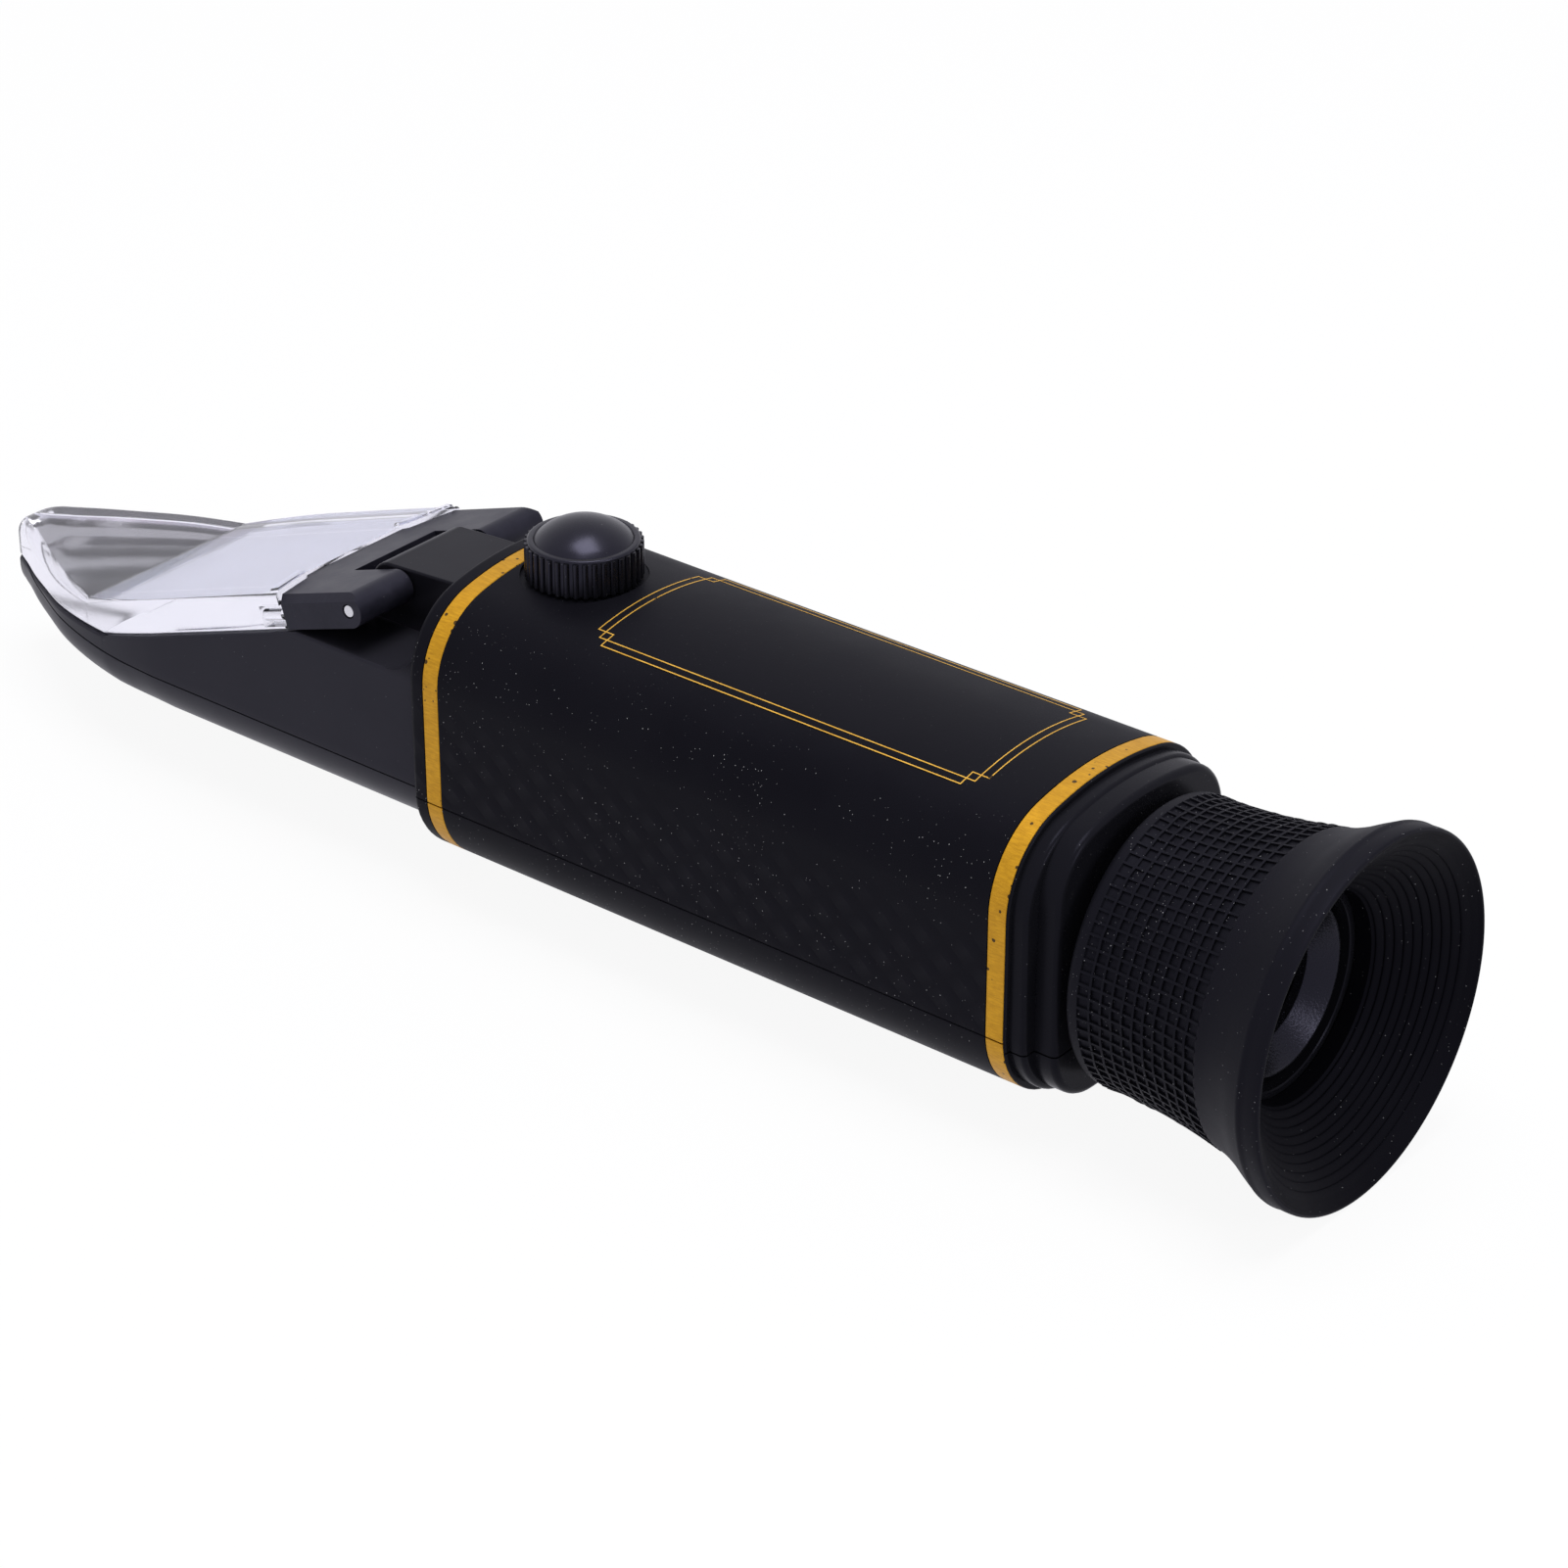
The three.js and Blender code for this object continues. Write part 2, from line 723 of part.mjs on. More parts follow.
// Flat cradle under the prism, with a shallow groove for the cement.
function prismSeat() {
    const half = prism_width / 2;
    const front = prism_base_front;
    const rear = prism_rear;
    const plate = box(front, rear, -half, half, seat_floor, seat_floor + seat_thickness);
    const groove = box(
        (front + rear) / 2 - seat_thickness, (front + rear) / 2 + seat_thickness,
        -half / 2, half / 2, seat_floor + seat_thickness / 2, seat_floor + seat_thickness + overrun
    );
    return cut(plate, groove);
}

// Flat clip behind the prism, with a window for the light.
function prismRetainer() {
    const from = prism_rear + fit_gap;
    const half = prism_width / 2;
    const low = seat_floor;
    const high = light_channel_roof - fit_gap;
    const sheet = box(from, from + retainer_thickness, -half, half, low, high);
    const window_half = light_window_width / 2;
    const window = box(
        from - overrun, from + retainer_thickness + overrun, -window_half, window_half,
        prism_base_height + light_window_margin / 2, high - light_window_margin
    );
    return cut(sheet, window);
}

// Hinge: a steel pin through the block, and a bracket that straddles the block.
function hingePin() {
    const half = bracket_width / 2 - pin_end_gap;
    return rod(pin_radius, -half, half, on_pin);
}

// Side outline of the bracket about the pin: a bar with a round end.
function bracketSide() {
    const shape = new THREE.Shape();
    shape.moveTo(-bracket_reach, -bracket_half_thickness);
    shape.lineTo(0, -bracket_half_thickness);
    shape.absarc(0, 0, bracket_half_thickness, -Math.PI / 2, Math.PI / 2);
    shape.lineTo(-bracket_reach, bracket_half_thickness);
    return shape;
}

// End outline of the bracket, with its upper edges chamfered.
function bracketEnd() {
    const half = bracket_width / 2;
    const top = bracket_half_thickness + overrun;
    const side = bracket_half_thickness - bracket_edge_chamfer;
    const slant = half - bracket_edge_chamfer - overrun;
    return outline([
        [-half, -top], [half, -top], [half, side], [slant, top], [-slant, top], [-half, side]
    ]);
}

// Plan of the bracket's front edge, with a gap added in front of it for the plate.
function bracketPlan(gap) {
    const half = bracket_width / 2 + gap;
    const shoulder = bracket_shoulder_width / 2;
    const front = -bracket_reach - gap;
    const arm = -bracket_arm_reach - gap;
    const rear = bracket_half_thickness + overrun;
    return outline([
        [front, -shoulder], [front, shoulder], [arm, half], [rear, half], [rear, -half], [arm, -half]
    ]);
}

function lugs(gap) {
    const from = -bracket_reach - overrun;
    const to = lug_length - bracket_reach + gap;
    return [-1, 1].map((side) => {
        const aside = new THREE.Matrix4().makeTranslation(0, side * lug_spacing / 2, 0);
        return rod(lug_radius + gap, from, to, on_pin.clone().multiply(aside), true);
    });
}

function hingeBracket() {
    const half = bracket_width / 2;
    const notch_half = hinge_block_width / 2 + bracket_side_gap;
    const notch = outline([
        [-bracket_notch_reach, -notch_half], [-bracket_notch_reach, notch_half],
        [bracket_reach, notch_half], [bracket_reach, -notch_half]
    ]);
    const bar = alongY(bracketSide(), -half, half, on_pin);
    const plan = alongZ(bracketPlan(0), -bracket_reach, bracket_reach, on_pin);
    const end = alongZ(bracketEnd(), -bracket_reach * 2, bracket_reach, on_pin.clone().multiply(along_axis));
    return cut(
        bar.intersect(plan).intersect(end), alongZ(notch, -bracket_reach, bracket_reach, on_pin),
        rod(pin_radius + pin_running_gap, -grip_width, grip_width, on_pin), ...lugs(lug_gap)
    );
}

// Daylight plate: a clear moulding that follows the nose, bent where the facet starts.
const plate_top_bend = nose_bend - plate_top_bend_from_bend;
const plate_tip = nose_tip - plate_tip_overhang;
const plate_rear = pin_x - bracket_arm_reach * Math.cos(bracket_lean);

function plateTop(x) {
    const bend_top = nose_bend_height + plate_gap + plate_thickness - facet_slope * plate_top_bend_from_bend;
    if (x > plate_top_bend) {
        return bend_top + facet_slope * (x - plate_top_bend);
    }
    const share = (x - plate_tip) / (plate_top_bend - plate_tip);
    const tip_top = nose_tip_height + plate_tip_depth;
    const inward = Math.max(plate_tip_round - (x - plate_tip), 0);
    const drop = plate_tip_round - Math.sqrt(plate_tip_round ** 2 - inward ** 2);
    return tip_top + (bend_top - tip_top) * share - drop;
}

function plateRing(x) {
    const nearest = Math.max(x, nose_tip);
    const narrowing = x < nose_tip ? plate_tip_share : 1;
    const half = (nose_half_width * noseShare(nearest) - plate_edge_inset) * narrowing;
    const top = plateTop(x);
    const chamfer = Math.min(plate_edge_chamfer, half / 2);
    const low = roofHeight(nearest) + plate_gap;
    return [
        [x, -half, low], [x, half, low], [x, half, top - chamfer],
        [x, half - chamfer, top], [x, chamfer - half, top], [x, -half, top - chamfer]
    ];
}

function daylightPlate() {
    const stations = noseStations(facet_end).filter((x) => x < plate_rear);
    const places = [plate_tip, ...stations, plate_top_bend, plate_rear];
    places.sort((a, b) => a - b);
    const behind = alongZ(bracketPlan(plate_rear_gap), -grip_height, grip_height, on_pin);
    return join(loft(places.map(plateRing)).subtract(behind), ...lugs(0));
}

// Calibration cap: a ribbed ring with a smooth dome, bored out to screw over the bushing.
const cap_base = cap_seat + cap_lift_gap;
const cap_rim = cap_base + cap_rim_height;

function ribbedCircle(radius, depth, count) {
    const points = [];
    const pitch = Math.PI * 2 / count;
    for (let i = 0; i < count; i += 1) {
        const start = i * pitch;
        const land = pitch * cap_rib_width_share;
        const corners = [[0, radius], [land, radius], [(land + pitch) / 2, radius - depth]];
        for (const [turn, reach] of corners) {
            points.push([reach * Math.cos(start + turn), reach * Math.sin(start + turn)]);
        }
    }
    return outline(points);
}

function calibrationCap() {
    const ring_geometry = new THREE.ExtrudeGeometry(
        ribbedCircle(cap_radius, cap_rib_depth, cap_rib_count), { depth: cap_rim_height, bevelEnabled: false }
    );
    ring_geometry.translate(cap_from_front, 0, cap_base);
    const dome_radius = (cap_dome_radius ** 2 + cap_dome_rise ** 2) / (2 * cap_dome_rise);
    const profile = [[cap_rim - cap_rim_height / 2, 0], [cap_rim - cap_rim_height / 2, cap_dome_radius]];
    for (let i = 0; i <= arc_steps; i += 1) {
        const radius = cap_dome_radius * (1 - i / arc_steps);
        const drop = dome_radius - Math.sqrt(dome_radius ** 2 - radius ** 2);
        profile.push([cap_rim + cap_dome_rise - drop, radius]);
    }
    const dome = turnedUpright(profile, cap_from_front, 0);
    const bore = uprightRod(
        cap_from_front, 0, bushing_radius + thread_gap, cap_base - overrun,
        cap_base + cap_bore_depth, turned_sides
    );
    const seal_room = uprightRod(
        cap_from_front, 0, bushing_radius + thread_gap * 2 + seal_width + thread_gap,
        cap_base - overrun, cap_seat + seal_height + thread_gap * 2, turned_sides
    );
    return cut(join(toSolid(ring_geometry), dome), bore, seal_room);
}

function capSeal() {
    const inner = bushing_radius + thread_gap * 2;
    const low = cap_seat + thread_gap;
    return turnedUpright(ringProfile(low, low + seal_height, inner, inner + seal_width), cap_from_front, 0);
}

const bushing_top = cap_base + cap_bore_depth - bushing_top_gap;
const flange_top = crownHeight(bushing_flange_radius, housing_wall) - fit_gap;
const flange_base = flange_top - bushing_flange_thickness;
const head_base = bushing_top - bushing_head_depth;
const bushing_bore_radius = screw_shank_radius + screw_running_gap;

function calibrationBushing() {
    return turnedUpright([
        [flange_base, bushing_bore_radius], [flange_base, bushing_flange_radius],
        [flange_top, bushing_flange_radius], [flange_top, bushing_radius],
        [bushing_top, bushing_radius], [bushing_top, bushing_head_radius],
        [head_base, bushing_head_radius], [head_base, bushing_bore_radius], [flange_base, bushing_bore_radius]
    ], cap_from_front, 0);
}

// The carriage rides on two upright guides and takes the foot of the calibration screw.
const carriage_front = cap_from_front - carriage_length / 2;
const carriage_rear = carriage_front + carriage_length;
const lug_top = flange_base - screw_collar_height - fit_gap - carriage_travel - fit_gap;
const lug_base = lug_top - carriage_lug_height;

function calibrationScrew() {
    const collar_top = flange_base - screw_running_gap;
    const head_low = head_base + screw_running_gap;
    const head_high = head_low + screw_head_height;
    const shank = screw_shank_radius;
    const head = bushing_head_radius - screw_running_gap;
    const foot = lug_base - screw_reach;
    const body = turnedUpright([
        [foot, 0], [foot, shank], [collar_top - screw_collar_height, shank],
        [collar_top - screw_collar_height, screw_collar_radius], [collar_top, screw_collar_radius],
        [collar_top, shank], [head_low, shank], [head_low, head], [head_high, head], [head_high, 0]
    ], cap_from_front, 0);
    const slot = box(
        cap_from_front - head, cap_from_front + head, -screw_slot_width / 2, screw_slot_width / 2,
        head_high - screw_slot_depth, head_high + overrun
    );
    return cut(body, slot);
}

function lensCarriage() {
    const base = axis_height - carriage_base_drop;
    const half = carriage_width / 2;
    const shoulder = axis_height + objective_radius;
    const neck = carriage_neck_width / 2;
    const frame = box(carriage_front, carriage_rear, -half, half, base, shoulder);
    const crown = box(carriage_front, carriage_rear, -neck, neck, shoulder - overrun, lug_top);
    const head = uprightRod(cap_from_front, 0, carriage_lug_radius, lug_base, lug_top);
    const foot = lug_base - screw_reach - fit_gap - carriage_travel;
    const bore = turnedOnAxis(discProfile(
        carriage_front + lens_seat_ledge, carriage_rear + overrun, objective_radius + lens_side_gap
    ));
    const aperture = turnedOnAxis(
        discProfile(carriage_front - overrun, carriage_rear + overrun, objective_radius - lens_seat_ledge)
    );
    const guides = [-1, 1].map((side) => uprightRod(
        cap_from_front, side * guide_spacing / 2, guide_radius + guide_gap, 0, grip_height
    ));
    const thread = uprightRod(
        cap_from_front, 0, screw_shank_radius + screw_running_gap, foot, lug_top + overrun
    );
    return cut(join(frame, crown, head), bore, aperture, thread, ...guides);
}

const objective_place = carriage_front + lens_seat_ledge + fit_gap;

function objectiveLens() {
    return turnedOnAxis(lensProfile(
        objective_place, objective_edge, objective_front_bulge, objective_bulge, objective_radius
    ));
}

function lensRing() {
    const share = 1 - lens_ring_wall / objective_radius;
    const from = objective_place + objective_edge + objective_bulge * (1 - share ** 2) + lens_side_gap;
    return turnedOnAxis(ringProfile(
        from, from + lens_ring_height, objective_radius - lens_ring_wall, objective_radius
    ));
}

function guidePin(side) {
    const low = bellyHeight(guide_spacing / 2 + guide_radius, housing_wall) + guide_foot_gap;
    const high = axis_height + objective_radius + fit_gap + carriage_travel;
    return uprightRod(cap_from_front, side * guide_spacing / 2, guide_radius, low, high);
}

// Bimetal strip of the temperature compensation, under the carriage, free to move in its clamp.
const strip_top = axis_height - carriage_base_drop - strip_from_base;
const strip_base = strip_top - strip_thickness;
const strip_rear = carriage_front + strip_length;

function bimetalStrip() {
    return box(carriage_front, strip_rear, -strip_width / 2, strip_width / 2, strip_base, strip_top);
}

function stripClamp() {
    const from = strip_rear - clamp_overlap;
    const room = carriage_travel + fit_gap;
    const low = housing_wall + fit_gap / 2;
    const high = strip_top + room + clamp_jaw;
    const half = clamp_width / 2;
    const block = box(from, from + clamp_length, -half, half, low, high);
    const slot_half = strip_width / 2 + fit_gap;
    const slot = box(
        from - overrun, strip_rear + fit_gap, -slot_half, slot_half, strip_base - room, strip_top + room
    );
    return cut(block, slot);
}

// Baffles: thin plates that fill the hollow of the grip and pass the light through a round hole.
function lightBaffle(place_share, aperture_share) {
    const x = grip_length * place_share;
    const sheet = alongX(gripSection(housing_wall + fit_gap), x, x + baffle_thickness);
    const radius = (grip_width / 2 - housing_wall) * aperture_share;
    return cut(sheet, turnedOnAxis(discProfile(x - overrun, x + baffle_thickness + overrun, radius)));
}

// Reticle: a glass disc with the scale, held in a ring in front of the socket.
const holder_rear = cavity_rear - socket_flange_length / 2 - fit_gap;
const holder_front = holder_rear - reticle_holder_length;
const holder_radius = reticle_radius + lens_side_gap + reticle_holder_wall;

function reticleHolder() {
    const ledge = reticle_radius - reticle_ledge;
    return turnedOnAxis([
        [holder_front, ledge], [holder_front, holder_radius], [holder_rear, holder_radius],
        [holder_rear, reticle_radius + lens_side_gap],
        [holder_front + reticle_ledge, reticle_radius + lens_side_gap],
        [holder_front + reticle_ledge, ledge], [holder_front, ledge]
    ]);
}

const reticle_place = holder_front + reticle_ledge + fit_gap / 2;

function reticleDisc() {
    return turnedOnAxis(discProfile(reticle_place, reticle_place + reticle_thickness, reticle_radius));
}

function reticleRing() {
    const from = reticle_place + reticle_thickness + fit_gap / 2;
    return turnedOnAxis(ringProfile(
        from, from + reticle_ring_length, reticle_radius - reticle_ring_wall, reticle_radius
    ));
}

// Socket: the fixed threaded tube that the eyepiece turns on.
const socket_front = cavity_rear - socket_flange_length / 2;

function eyepieceSocket() {
    const bore = socket_radius - socket_wall;
    const flange_rear = socket_front + socket_flange_length - fit_gap;
    return turnedOnAxis([
        [socket_front, bore], [socket_front, socket_flange_radius], [flange_rear, socket_flange_radius],
        [flange_rear, socket_radius], [socket_rear, socket_radius], [socket_rear, bore], [socket_front, bore]
    ]);
}

// Rubber grip with its eyecup: waisted outside, a wide bell inside.
const sleeve_front = collar_rear + sleeve_clearance;
const sleeve_rear = sleeve_front + sleeve_length;
const throat = sleeve_rear - bell_depth;
const barrel_rear = throat - sleeve_lip_length - barrel_end_gap;

function rubberGrip() {
    const swell = eyecup_radius - sleeve_radius;
    const outside = sleeve_swell_shares.map(([along, share]) => [
        sleeve_front + sleeve_length * along, sleeve_radius + swell * share
    ]);
    const step = barrel_rear + barrel_end_gap;
    return turnedOnAxis([
        [sleeve_front, sleeve_bore_radius], ...outside, [sleeve_rear, eyecup_radius - bell_lip_width],
        [throat, bell_throat_radius], [step, bell_throat_radius], [step, sleeve_bore_radius],
        [sleeve_front, sleeve_bore_radius]
    ], bell_sides);
}

const barrel_bore = socket_radius + barrel_thread_gap;
const barrel_radius = sleeve_bore_radius - sleeve_fit_gap;
const barrel_front = sleeve_front + barrel_front_gap;
const groove_front = barrel_front + ring_groove_from_front;
const groove_rear = groove_front + ring_groove_length;

function eyepieceBarrel() {
    return turnedOnAxis([
        [barrel_front, barrel_bore], [barrel_front, barrel_radius], [barrel_rear, barrel_radius],
        [barrel_rear, barrel_bore], [groove_rear, barrel_bore],
        [groove_rear, barrel_bore + ring_groove_depth], [groove_front, barrel_bore + ring_groove_depth],
        [groove_front, barrel_bore], [barrel_front, barrel_bore]
    ]);
}

function focusRing() {
    return turnedOnAxis(ringProfile(
        groove_front + ring_gap, groove_rear - ring_gap,
        barrel_bore, barrel_bore + ring_groove_depth - ring_gap
    ));
}

// Inside the barrel, from the eye inwards: the cone, the eye lens, a spacer and the field lens.
const cell_radius = barrel_bore - lens_side_gap;
const cone_rear = barrel_rear - cone_recess;
const cone_front = cone_rear - cone_length;

function eyepieceCone() {
    return turnedOnAxis([
        [cone_front, cone_hole_radius], [cone_front, cell_radius], [cone_rear, cell_radius],
        [cone_rear, cone_mouth_radius + cone_rim], [cone_rear, cone_mouth_radius],
        [cone_front + cone_land, cone_hole_radius], [cone_front, cone_hole_radius]
    ]);
}

const eye_lens_front = cone_front - fit_gap - eye_lens_edge;
const spacer_front = eye_lens_front - fit_gap - spacer_length;
const field_lens_front = spacer_front - fit_gap - field_lens_edge;
const socket_rear = field_lens_front - field_lens_bulge - focus_travel_in - fit_gap;

function eyeLens() {
    return turnedOnAxis(lensProfile(eye_lens_front, eye_lens_edge, eye_lens_bulge, 0, cell_radius));
}

function lensSpacer() {
    return turnedOnAxis(ringProfile(
        spacer_front, spacer_front + spacer_length, cell_radius - spacer_wall, cell_radius
    ));
}

function fieldLens() {
    return turnedOnAxis(lensProfile(field_lens_front, field_lens_edge, field_lens_bulge, 0, cell_radius));
}

// A countersunk screw that stands upright with its head down.
function housingScrew(x, y, base) {
    const head_top = base + housing_screw_head_height;
    const top = base + housing_screw_length;
    const body = turnedUpright([
        [base, 0], [base, housing_screw_head_radius],
        [base + housing_screw_head_height / 3, housing_screw_head_radius],
        [head_top, housing_screw_radius], [top, housing_screw_radius], [top, 0]
    ], x, y, small_sides);
    const slot_half = screw_slot_width / 2;
    const reach = housing_screw_head_radius * cap_rib_width_share;
    const slots = [
        box(x - reach, x + reach, y - slot_half, y + slot_half, base - overrun, base + screw_slot_depth),
        box(x - slot_half, x + slot_half, y - reach, y + reach, base - overrun, base + screw_slot_depth)
    ];
    return cut(body, ...slots);
}

// Finishes
const finishes = {
    soft_touch: { color: 0x1b1b1f, roughness: 0.7, metalness: 0 },
    gold: { color: 0xd8aa32, roughness: 0.35, metalness: 0.9 },
    clear: { color: 0xe8eaf2, roughness: 0.1, metalness: 0 },
    glass: { color: 0xcdd6e6, roughness: 0.05, metalness: 0 },
    rubber: { color: 0x1a1b20, roughness: 0.8, metalness: 0 },
    hard_black: { color: 0x232327, roughness: 0.35, metalness: 0 },
    steel: { color: 0xc8c8cc, roughness: 0.3, metalness: 1 },
    brass: { color: 0xb8963c, roughness: 0.35, metalness: 1 },
    dark_metal: { color: 0x2a2a2e, roughness: 0.4, metalness: 0.6 },
    bimetal: { color: 0x9a9487, roughness: 0.4, metalness: 1 }
};

const refractometer = new THREE.Group();

function place(name, solid, finish) {
    const mesh = new THREE.Mesh(toGeometry(solid), new THREE.MeshStandardMaterial(finishes[finish]));
    mesh.name = name;
    refractometer.add(mesh);
}

place('upper_housing', housingShell(1), 'soft_touch');
place('lower_housing', housingShell(-1), 'soft_touch');
place('front_stripe_upper', stripe(front_stripe_place, 1), 'gold');
place('front_stripe_lower', stripe(front_stripe_place, -1), 'gold');
place('rear_stripe_upper', stripe(rear_stripe_place, 1), 'gold');
place('rear_stripe_lower', stripe(rear_stripe_place, -1), 'gold');

place('main_prism', mainPrism(), 'glass');
place('prism_gasket', prismGasket(), 'rubber');
place('prism_seat', prismSeat(), 'hard_black');
place('prism_retainer', prismRetainer(), 'steel');

place('hinge_pin', hingePin(), 'steel');
place('hinge_bracket', hingeBracket(), 'hard_black');
place('daylight_plate', daylightPlate(), 'clear');

place('calibration_cap', calibrationCap(), 'hard_black');
place('cap_seal', capSeal(), 'rubber');
place('calibration_bushing', calibrationBushing(), 'brass');
place('calibration_screw', calibrationScrew(), 'steel');

place('lens_carriage', lensCarriage(), 'dark_metal');
place('objective_lens', objectiveLens(), 'glass');
place('objective_lens_ring', lensRing(), 'dark_metal');
place('carriage_guide_left', guidePin(1), 'steel');
place('carriage_guide_right', guidePin(-1), 'steel');
place('bimetal_strip', bimetalStrip(), 'bimetal');
place('strip_clamp', stripClamp(), 'hard_black');

['light_baffle_front', 'light_baffle_rear'].forEach((name, i) => {
    place(name, lightBaffle(baffle_places_share[i], baffle_apertures_share[i]), 'hard_black');
});

place('reticle_holder', reticleHolder(), 'dark_metal');
place('reticle_disc', reticleDisc(), 'glass');
place('reticle_ring', reticleRing(), 'dark_metal');
place('eyepiece_socket', eyepieceSocket(), 'dark_metal');

place('focus_ring_seal', focusRing(), 'rubber');
place('eyepiece_barrel', eyepieceBarrel(), 'dark_metal');
place('rubber_eyepiece_grip', rubberGrip(), 'rubber');
place('eyepiece_cone', eyepieceCone(), 'hard_black');
place('eye_lens', eyeLens(), 'glass');
place('lens_spacer', lensSpacer(), 'dark_metal');
place('field_lens', fieldLens(), 'glass');

screw_places.forEach(([x, y], i) => {
    const names = ['front_right', 'front_left', 'rear_right', 'rear_left'];
    place(`housing_screw_${names[i]}`, housingScrew(x, y, screwHeadBase(y)), 'steel');
});

// The origin lies under the middle of the length, level with the lowest point of the eyecup.
refractometer.position.set(-(plate_tip + sleeve_rear) / 2, 0, eyecup_radius - axis_height);

export default refractometer;
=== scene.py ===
import math

import bmesh
import bpy
import numpy as np
from mathutils import Matrix, Vector


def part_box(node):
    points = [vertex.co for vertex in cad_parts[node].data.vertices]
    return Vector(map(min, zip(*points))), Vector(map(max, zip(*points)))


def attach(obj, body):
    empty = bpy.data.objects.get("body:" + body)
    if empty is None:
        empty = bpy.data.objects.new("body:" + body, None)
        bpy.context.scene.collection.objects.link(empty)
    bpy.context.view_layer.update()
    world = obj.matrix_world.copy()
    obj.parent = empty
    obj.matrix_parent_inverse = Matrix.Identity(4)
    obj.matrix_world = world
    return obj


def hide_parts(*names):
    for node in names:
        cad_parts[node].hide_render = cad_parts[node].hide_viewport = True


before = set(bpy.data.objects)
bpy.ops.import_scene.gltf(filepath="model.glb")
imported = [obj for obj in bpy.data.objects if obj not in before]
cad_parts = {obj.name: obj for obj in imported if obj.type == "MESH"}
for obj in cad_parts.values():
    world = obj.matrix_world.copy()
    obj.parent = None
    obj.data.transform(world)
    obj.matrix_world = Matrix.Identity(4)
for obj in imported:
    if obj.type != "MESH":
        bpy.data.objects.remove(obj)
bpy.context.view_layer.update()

# ------------------------ housing
# The housing is two moulded shells: a boat-shaped nose under the daylight plate, a padded grip with a
# crowned top, and a collar with two steps at the rear. The shells meet low on the sides, where four
# screws from the belly hold them together. The grip is soft-touch black, nose and collar bare plastic.
MM = 0.001
GRIP_LENGTH, GRIP_WIDTH, GRIP_HEIGHT = 66.1, 27.0, 27.2
CROWN_RADIUS, TOP_CORNER, BELLY_CORNER = 31.7, 8.0, 7.7
AXIS_HEIGHT, WALL = 13.1, 2.0
STRIPE_WIDTH, STRIPE_DEPTH = 1.75, 0.5
FRONT_STRIPE, REAR_STRIPE = 1.8, 64.05
SEAM_HEIGHT, SEAM_GAP, COLLAR_SEAM_DROP = 7.2, 0.16, 0.9
NOSE_TIP, NOSE_TAPER, NOSE_BEND, NOSE_HALF = -64.6, 30.0, -41.9, 12.2
ROOF_TIP, ROOF_BEND, FACET = 6.9, 8.9, math.tan(math.radians(19.2))
FLOOR_HEIGHT, COVE = 18.2, 4.0
COLLAR_REAR, WIDE_REAR, WIDE_INSET, NARROW_INSET, NARROW_DROP = 69.7, 67.6, 0.5, 2.0, 0.7
ROOM_HALF, CHANNEL_HALF, ROOM_FLOOR, ROOM_TOP, FLANGE_FRONT = 9.8, 8.1, 3.8, 16.0, 62.8
PIN_X, PIN_Z, LEAN = -8.36, 22.35, math.radians(18.6)
BLOCK_HALF, BLOCK_FRONT, BLOCK_TOP_FRONT, BLOCK_TOP_REAR, BLOCK_ROUND = 5.0, -12.2, 23.9, 24.6, 2.2
CAP_X = 9.1
NOSE_OUTLINE = [
    (0, 0.1), (0.015, 0.15), (0.05, 0.205), (0.12, 0.3), (0.21, 0.43), (0.32, 0.57),
    (0.45, 0.725), (0.6, 0.85), (0.75, 0.935), (0.9, 0.985), (1, 1)]
FRONT_FACE_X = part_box("front_stripe_upper")[0].x - FRONT_STRIPE * MM
BELLY_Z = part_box("lower_housing")[0].z


def placed(points):
    """Points in millimetres, from the grip's front face, its middle and its belly, as metres in the frame."""
    points = np.asarray(points, float) * MM
    return points + np.array((FRONT_FACE_X, 0, BELLY_Z))


def new_object(name, data):
    made = bpy.data.objects.new(name, data)
    bpy.context.collection.objects.link(made)
    return made


def mesh_object(name, points, faces, smooth_angle=None):
    mesh = bpy.data.meshes.new(name)
    mesh.from_pydata([tuple(p) for p in points], [], [tuple(f) for f in faces])
    mesh.validate()
    shell = bmesh.new()
    shell.from_mesh(mesh)
    bmesh.ops.remove_doubles(shell, verts=shell.verts, dist=3e-7)
    bmesh.ops.recalc_face_normals(shell, faces=shell.faces)
    shell.to_mesh(mesh)
    shell.free()
    piece = new_object(name, mesh)
    if smooth_angle is not None:
        smooth(piece, smooth_angle)
    return piece


def smooth(piece, angle=30.0):
    piece.data.shade_smooth()
    piece.data.set_sharp_from_angle(angle=math.radians(angle))


def baked(piece):
    """Swaps a piece's mesh for the one that its modifiers make, and takes the modifiers off."""
    bpy.context.view_layer.update()
    graph = bpy.context.evaluated_depsgraph_get()
    mesh = bpy.data.meshes.new_from_object(piece.evaluated_get(graph))
    piece.modifiers.clear()
    piece.data = mesh
    return piece


def combined(piece, *others, how="DIFFERENCE"):
    """Joins, cuts or keeps the shared part of closed meshes, and drops the ones that were used."""
    for other in others:
        step = piece.modifiers.new("step", "BOOLEAN")
        step.operation, step.object, step.solver = how, other, "MANIFOLD"
    baked(piece)
    for other in others:
        bpy.data.objects.remove(other)
    return piece


def bevelled(piece, width, segments, angle):
    step = piece.modifiers.new("edge", "BEVEL")
    step.width, step.segments, step.limit_method = width * MM, segments, "ANGLE"
    step.angle_limit = math.radians(angle)
    return baked(piece)


def weighted(piece, angle=30.0):
    smooth(piece, angle)
    step = piece.modifiers.new("weighted", "WEIGHTED_NORMAL")
    step.keep_sharp, step.weight = True, 80
    return baked(piece)


def painted(piece, *finishes):
    piece.data.materials.clear()
    for finish in finishes:
        piece.data.materials.append(finish)


